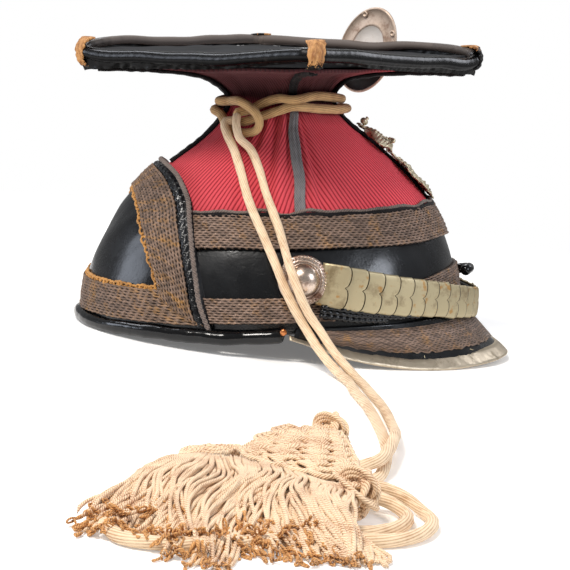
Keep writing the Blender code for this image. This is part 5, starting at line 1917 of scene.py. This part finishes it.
def board(u, v, out):
    along_u, along_v = ((a * (BOARD_CELLS + 2) - 1) / BOARD_CELLS for a in (u, v))
    skirt = (np.minimum(along_u, along_v) < -0.01) | (np.maximum(along_u, along_v) > 1.01)
    p, q = 2 * np.clip(along_u, 0, 1) - 1, 2 * np.clip(along_v, 0, 1) - 1
    blunt = 1 - 0.1 * np.maximum(0, np.abs(p) + np.abs(q) - 1.8)
    x, y = board_place((p + q) / 2 * blunt, (q - p) / 2 * blunt, BOARD_REACH)
    height = np.where(skirt, flare_edge(x, y) + 2.4, board_top(x, y) + out)
    return stacked(x, y, height)


board_bm = sheet_mesh(
    BOARD_CELLS + 2,
    BOARD_CELLS + 2,
    board,
    lambda s, t, u, v: 0.3 * unevenness(stacked(s, t), 40, 93) - 0.3,
)
board_lid = show("board_lid", board_bm, BOARD_PATENT, ["top_board"])
walled(board_lid, 3.4)

# %% The roll round the board


def roll_point(station):
    """The roll's centre and radius at stations round the board, from corner to corner."""
    station = np.asarray(station, float) % 4
    wrapped = [(row[0] + turn, *row[1:]) for turn in (-4, 0, 4) for row in ROLL]
    height, radius = np.moveaxis(along(wrapped, station), -1, 0)
    side = np.minimum(station.astype(int), 3)
    share = station - side
    corners = np.array([(1, 0), (0, 1), (-1, 0), (0, -1), (1, 0)], float)
    near, far = corners[side], corners[side + 1]
    blunt = 1 - 0.022 * np.maximum(0, 1 - np.minimum(share, 1 - share) / 0.04)
    p, q = np.moveaxis((near + (far - near) * share[..., None]) * blunt[..., None], -1, 0)
    x, y = board_place(p, q, ROLL_REACH)
    return stacked(x, y, height), radius


stations = np.linspace(0, 4, 1201)[:-1]
roll_line, roll_radii = roll_point(stations)
roll_line[:, 2] += 0.2 * unevenness(roll_line[:, :2], 45, 94)
roll_steps = distances(roll_line)


def roll_size(turn, s):
    plain = np.interp(s, roll_steps, roll_radii, period=roll_steps[-1] + 0.7)
    lumps = unevenness(stacked(s, 8 * np.cos(turn), 8 * np.sin(turn)), 40, 95)
    wrinkles = unevenness(stacked(s, 3 * np.cos(turn), 3 * np.sin(turn)), 7, 96)
    seam = -0.10 * np.exp(-(((np.cos(turn + 2.2) + 1) / 0.02) ** 2))
    return plain * (1.03 + 0.035 * lumps + 0.006 * wrinkles + seam)


roll_bm = bmesh.new()
tube_mesh(roll_bm, roll_line, roll_size, sides=18, ring=True)
show("board_roll", roll_bm, ROLL_LEATHER, ["board_edge_roll"])

# %% The crumpled lip under the roll


def lip(u, v, out):
    centre, radius = roll_point(4 * u)
    outward = unit((centre - [BOARD_CENTRE_X, 0, 0]) * [1, 1, 0])
    start = centre + outward * 1.8 - stacked(0, 0, radius * 0.6)
    x, y = (centre[..., i] * 0.995 for i in (0, 1))
    under = centre[..., 2] - radius - 0.7
    # Towards the corners the lip reaches down to the cloth's edge, a dark sheet that stands in for the
    # shade there.
    share = (np.abs(x) / (np.abs(x) + np.abs(y))) ** 1.5
    end = stacked(x, y, np.minimum(under + share * (flare_edge(x, y) - 1.8 - under), under))
    return start + (end - start) * v[..., None] + (outward - [0, 0, 0.4]) * out[..., None]


def crumpled(s, t, u, v):
    round_it = stacked(120 * np.cos(2 * math.pi * u), 120 * np.sin(2 * math.pi * u), 2 * t)
    return (0.4 * unevenness(round_it, 11, 97) + 0.15 * unevenness(round_it, 4, 98)) * (0.3 + v)


lip_bm = sheet_mesh(900, 8, lip, crumpled)
show("board_lip", lip_bm, LIP_LEATHER)

# %% [markdown]
# ## The corner wraps
# A scrap of leather is bent round the roll at each corner and sewn down. Each is tan above a
# share of it that the table gives, black below that share and on its inside, and its torn edges
# are ragged. Each is a sheet bent to a C, with a thick wall, and its outline wanders so that it
# looks torn and not cut.

# %% Corner wraps
WRAPS = (
    # name, angle, width, bottom, top, share of it above which it is bare
    ("front", 0, 15, 139.5, 154.6, 0.74),
    ("left", 90, 11, 152.2, 160.6, 0.9),
    ("rear", 180, 17, 143.0, 160.2, 0.1),
    ("right", 270, 10, 143.6, 159.6, 0.26),
)
WRAP_REACH, WRAP_BEND = 118.0, 5.5
for name, angle, width, bottom, top, bare in WRAPS:
    turn_it = np.array(Matrix.Rotation(math.radians(angle), 3, "Z"))
    tall, middle = (top - bottom) / 2, (top + bottom) / 2

    def wrap(u, v, out):
        bend = np.radians(-100 + 200 * v)
        torn = 0.9 * unevenness(stacked(v * 30, 5 * np.sign(u - 0.5)), 5, 99 + angle)
        aside = (u - 0.5) * (width * (0.72 + 0.4 * v - 0.3 * np.clip(v - 0.8, 0, 1)) + torn)
        aside = aside + 1.6 * np.sin(2.6 * v + angle)
        saddle = 0.75 * (np.hypot(aside, 3.0) - 3.0)
        reach = WRAP_REACH + 0.4 - WRAP_BEND * (1 - np.cos(bend)) - saddle + out
        at = stacked(reach, aside, 0)
        height = middle + (tall - 0.4 * (2 * u - 1) ** 2) * np.sin(bend)
        return at @ turn_it.T + stacked(BOARD_CENTRE_X, 0, height)

    def worn(s, t, u, v):
        return 0.35 * unevenness(stacked(s, t), 5, 103 + angle)

    wrap_bm = sheet_mesh(18, 44, wrap, worn)
    wrap_layer = wrap_bm.loops.layers.uv["UVMap"]
    high = max(loop[wrap_layer].uv.y for face in wrap_bm.faces for loop in face.loops)
    dice = np.random.default_rng(angle)
    for face in wrap_bm.faces:
        share = face.loops[0][wrap_layer].uv.y / high + 0.05 * dice.normal()
        face.material_index = int(share < bare)
    wrap_piece = show(
        "wrap_" + name, wrap_bm, [TAN_LEATHER, BLACK_LEATHER], ["corner_wrap_" + name]
    )
    walled(wrap_piece, 1.3, inner=1)

# %% [markdown]
# ## The flounders and their fringes
# Each strand of the cap line ends in a flounder: a flat plait of flat bands, each of three fine
# cords, with a fringe of twisted, looped cords. They lie in a heap on the floor. A plait is
# simple to write down: every band swings from side to side as it goes along, each a step behind
# the last, and rises and dips once for each band it crosses. A plain plait under it keeps the
# floor from showing through. The fringe is made strand by strand, in layers that drape over the
# cord beneath them, and neighbours share one soft sway, as real fringe does.

# %% Where the heaps lie
HEAPS = {
    # name: dome, then the corners in world mm: root left, root right, tip right, tip left
    "flounder_large": (
        3, (-40.4, -304, 14), (-18.4, -298, 16), (-23.4, -390, 16), (-69.4, -350, 14)
    ),
    "fringe_large": (
        3, (-71.4, -352, 14), (-27.4, -391, 14), (-28.4, -444, 10.2), (-86.4, -446, 10.2)
    ),
    "flounder_small": (
        1, (-84.4, -338, 12), (-60.4, -328, 12), (-72.4, -347, 12), (-88.4, -350, 12)
    ),
    "fringe_small": (
        3, (-92.4, -352, 12), (-68.4, -350, 13), (-84.4, -442, 10.2), (-122.4, -416, 10.2)
    ),
}


def heap_point(name, u, v, lift=0.0):
    """World mm on a heap: u across it, and v from its root to its tip."""
    dome, *corners = HEAPS[name]
    a, b = np.broadcast_arrays(2 * np.asarray(u, float) - 1, 2 * np.asarray(v, float) - 1)
    a, b = a * np.sqrt(1 - 0.16 * np.minimum(b**2, 1)), b * np.sqrt(1 - 0.16 * np.minimum(a**2, 1))
    s, t = (a[..., None] + 1) / 2, (b[..., None] + 1) / 2
    root_left, root_right, tip_right, tip_left = (np.array(c, float) for c in corners)
    near = root_left + (root_right - root_left) * s
    far = tip_left + (tip_right - tip_left) * s
    swell = dome * np.clip(1 - a**2, 0, 1) * np.clip(1 - b**2, 0, 1)
    return near + (far - near) * t + stacked(0, 0, swell + lift)


# %% Plaits, knots and coils
def plait(bm, name, bands, swings, radius, lift, cords=1):
    """A flat plait that covers a heap. Each band is this many fine cords, side by side."""
    t = np.linspace(0, 1, 40 * swings)
    for k in range(bands):
        turn = 2 * math.pi * (swings * t + k / bands)
        width = 0.47 - 0.06 * np.abs(2 * t - 1) ** 4
        rise = (0.5 + 0.35 * cords) * radius * np.tanh(2.5 * np.sin((bands - 1) * turn))
        line = heap_point(name, 0.5 + width * np.sin(turn), 0.01 + 0.98 * t, lift + rise)
        aside = unit(np.cross(np.gradient(line, axis=0), [0, 0, 1.0]))
        for place in np.arange(cords) - (cords - 1) / 2:
            tube_mesh(bm, line + aside * place * 1.85 * radius, radius, sides=8, world=True)


def turned_edge(bm, name, radius):
    """The cord round a flounder's outline, in small scallops."""
    turn = np.linspace(0, 2 * math.pi, 181)[:-1]
    scallop = 0.49 + 0.03 * np.abs(np.sin(turn * 9))
    u, v = (0.5 + scallop * np.clip(1.25 * f(turn), -1, 1) for f in (np.cos, np.sin))
    tube_mesh(bm, heap_point(name, u, v, -radius), two_ply(radius, 3.4), 10, ring=True, world=True)


def turks_head(bm, place, size, tilt):
    """A ball of cords, three side by side, that wind round it over and under themselves."""
    turn = np.linspace(0, 2 * math.pi, 151)[:-1]
    for scale, lean in ((size, tilt), (0.8 * size, tilt + 1.4)):
        lean = np.array(Matrix.Rotation(lean, 3, "Y")).T
        for step in (-0.17, 0, 0.17):
            out = 0.58 + step + 0.3 * np.cos(4 * turn)
            ring = stacked(out * np.cos(3 * turn), out * np.sin(3 * turn), 0.62 * np.sin(4 * turn))
            line = np.array(place) + scale * ring @ lean
            tube_mesh(bm, line, size * 0.105, sides=8, ring=True, world=True)


def coil(bm, place, size, radius):
    """A flat coil of cord, its turns side by side."""
    turn = np.linspace(0.6, size / radius / 2 * 2 * math.pi, 90)
    out = radius * turn / math.pi
    line = np.array(place) + stacked(out * np.cos(turn), out * np.sin(turn), 1.2 - 0.12 * turn)
    tube_mesh(bm, line, radius, sides=8, world=True)


large_bm, small_bm = bmesh.new(), bmesh.new()
plait(large_bm, "flounder_large", 11, 1, 0.86, -1.6, cords=3)
plait(large_bm, "flounder_large", 9, 2, 1.9, -5.4)
turned_edge(large_bm, "flounder_large", 1.4)
turks_head(large_bm, (-22.0, -304.0, 13.5), 8.4, 1.1)
turks_head(large_bm, (-25.4, -386.0, 11.0), 9.0, 1.3)
coil(large_bm, (-40.4, -310.0, 15.5), 8.0, 0.9)
coil(large_bm, (-50.4, -327.0, 15.8), 7.0, 0.9)
plait(small_bm, "flounder_small", 7, 1, 0.7, -1.4, cords=2)
plait(small_bm, "flounder_small", 5, 1, 1.6, -4.0)
turned_edge(small_bm, "flounder_small", 1.2)
coil(small_bm, (-76.0, -342.0, 12.6), 7.0, 0.9)
plait_large = show("flounder_large_plait", large_bm, FRINGE_CORD, ["flounder_large"])
plait_small = show("flounder_small_plait", small_bm, FRINGE_CORD, ["flounder_small"])

# %% The fringes
FRINGE_RADIUS = 0.82
CORDS_BELOW = np.concatenate([line_a, line_b])[::2] / MM


def looped_end(bm, place, ahead, size, dice):
    """The brown loop that a strand of fringe turns back in."""
    turn = np.linspace(0, 2 * math.pi, 10)[:-1]
    aside = unit(np.cross(ahead, dice.normal(size=3)))
    ring = place + size * ((1 - np.cos(turn))[:, None] * ahead + 0.34 * np.sin(turn)[:, None] * aside)
    ring[:, 2] = np.maximum(ring[:, 2], 0.6)
    tube_mesh(bm, ring, 0.42, sides=5, ring=True, world=True)


def fringe(name, across, layers, seed, fan, long, bunch):
    """The strands of one fringe, and the brown loops that they finish in. Near the place across
    it that bunch gives, the upper strands stop short, so that their ends show in a cluster."""
    dice = np.random.default_rng(seed)
    strands, ends = bmesh.new(), bmesh.new()
    t = np.linspace(0, 1, 15)
    for layer in range(layers):
        for place in range(across):
            u = (place + dice.uniform(0.1, 0.9)) / across
            short = math.exp(-(((u - bunch[0]) / bunch[1]) ** 2))
            reach = long * (dice.uniform(0.86, 1.03) - 0.055 * short * (layers - layer))
            reach *= 1.08 if dice.uniform() < 0.02 else 1
            wander = 0.13 * unevenness(stacked(4 * u, 1.9 * t, layer / 3), 2.2, seed)
            sway = fan * (u - 0.5) * t + wander
            own = 0.03 * np.sin(t * dice.uniform(4, 9) + dice.uniform(0, 6))
            v = -0.06 + (reach + 0.06) * t
            line = heap_point(name, u + (sway + own) * np.minimum(3 * t, 1), v, -0.9 - 1.5 * layer)
            line[:, 2] *= 1 - (0.88 - 0.3 * short) * t**4
            line[:, 2] += 0.4 * unevenness(line / 9, 1, seed + layer)
            apart = np.linalg.norm(line[:, None, :2] - CORDS_BELOW[None, :, :2], axis=-1).min(axis=1)
            over = (7.4 - 0.5 * layer) * np.exp(-((apart / 5.5) ** 4))
            line[:, 2] = np.maximum(line[:, 2], np.maximum(over, FRINGE_RADIUS + 0.1))
            tube_mesh(strands, line, FRINGE_RADIUS, sides=6, world=True)
            ahead = unit(line[-1] - line[-2])
            if dice.uniform() > 0.12 + short:
                continue
            if dice.uniform() < 0.5:
                tube_mesh(ends, line[-3:], FRINGE_RADIUS * 1.06, sides=6, world=True)
            for _ in range(2):
                way = unit(ahead + 0.45 * dice.normal(size=3))
                tip = line[-1] - dice.uniform(0.4, 3.0) * ahead
                looped_end(ends, tip, way, dice.uniform(1.5, 2.6), dice)
    return (
        show(name + "_strands", strands, FRINGE_CORD, [name]),
        show(name + "_ends", ends, FRINGE_END),
    )


STRAND_A_ENDS = [plait_large, *fringe("fringe_large", 44, 7, 111, 0.1, 1.0, (0.36, 0.26))]
STRAND_B_ENDS = [plait_small, *fringe("fringe_small", 26, 7, 112, 0.4, 1.24, (0.4, 0.5))]
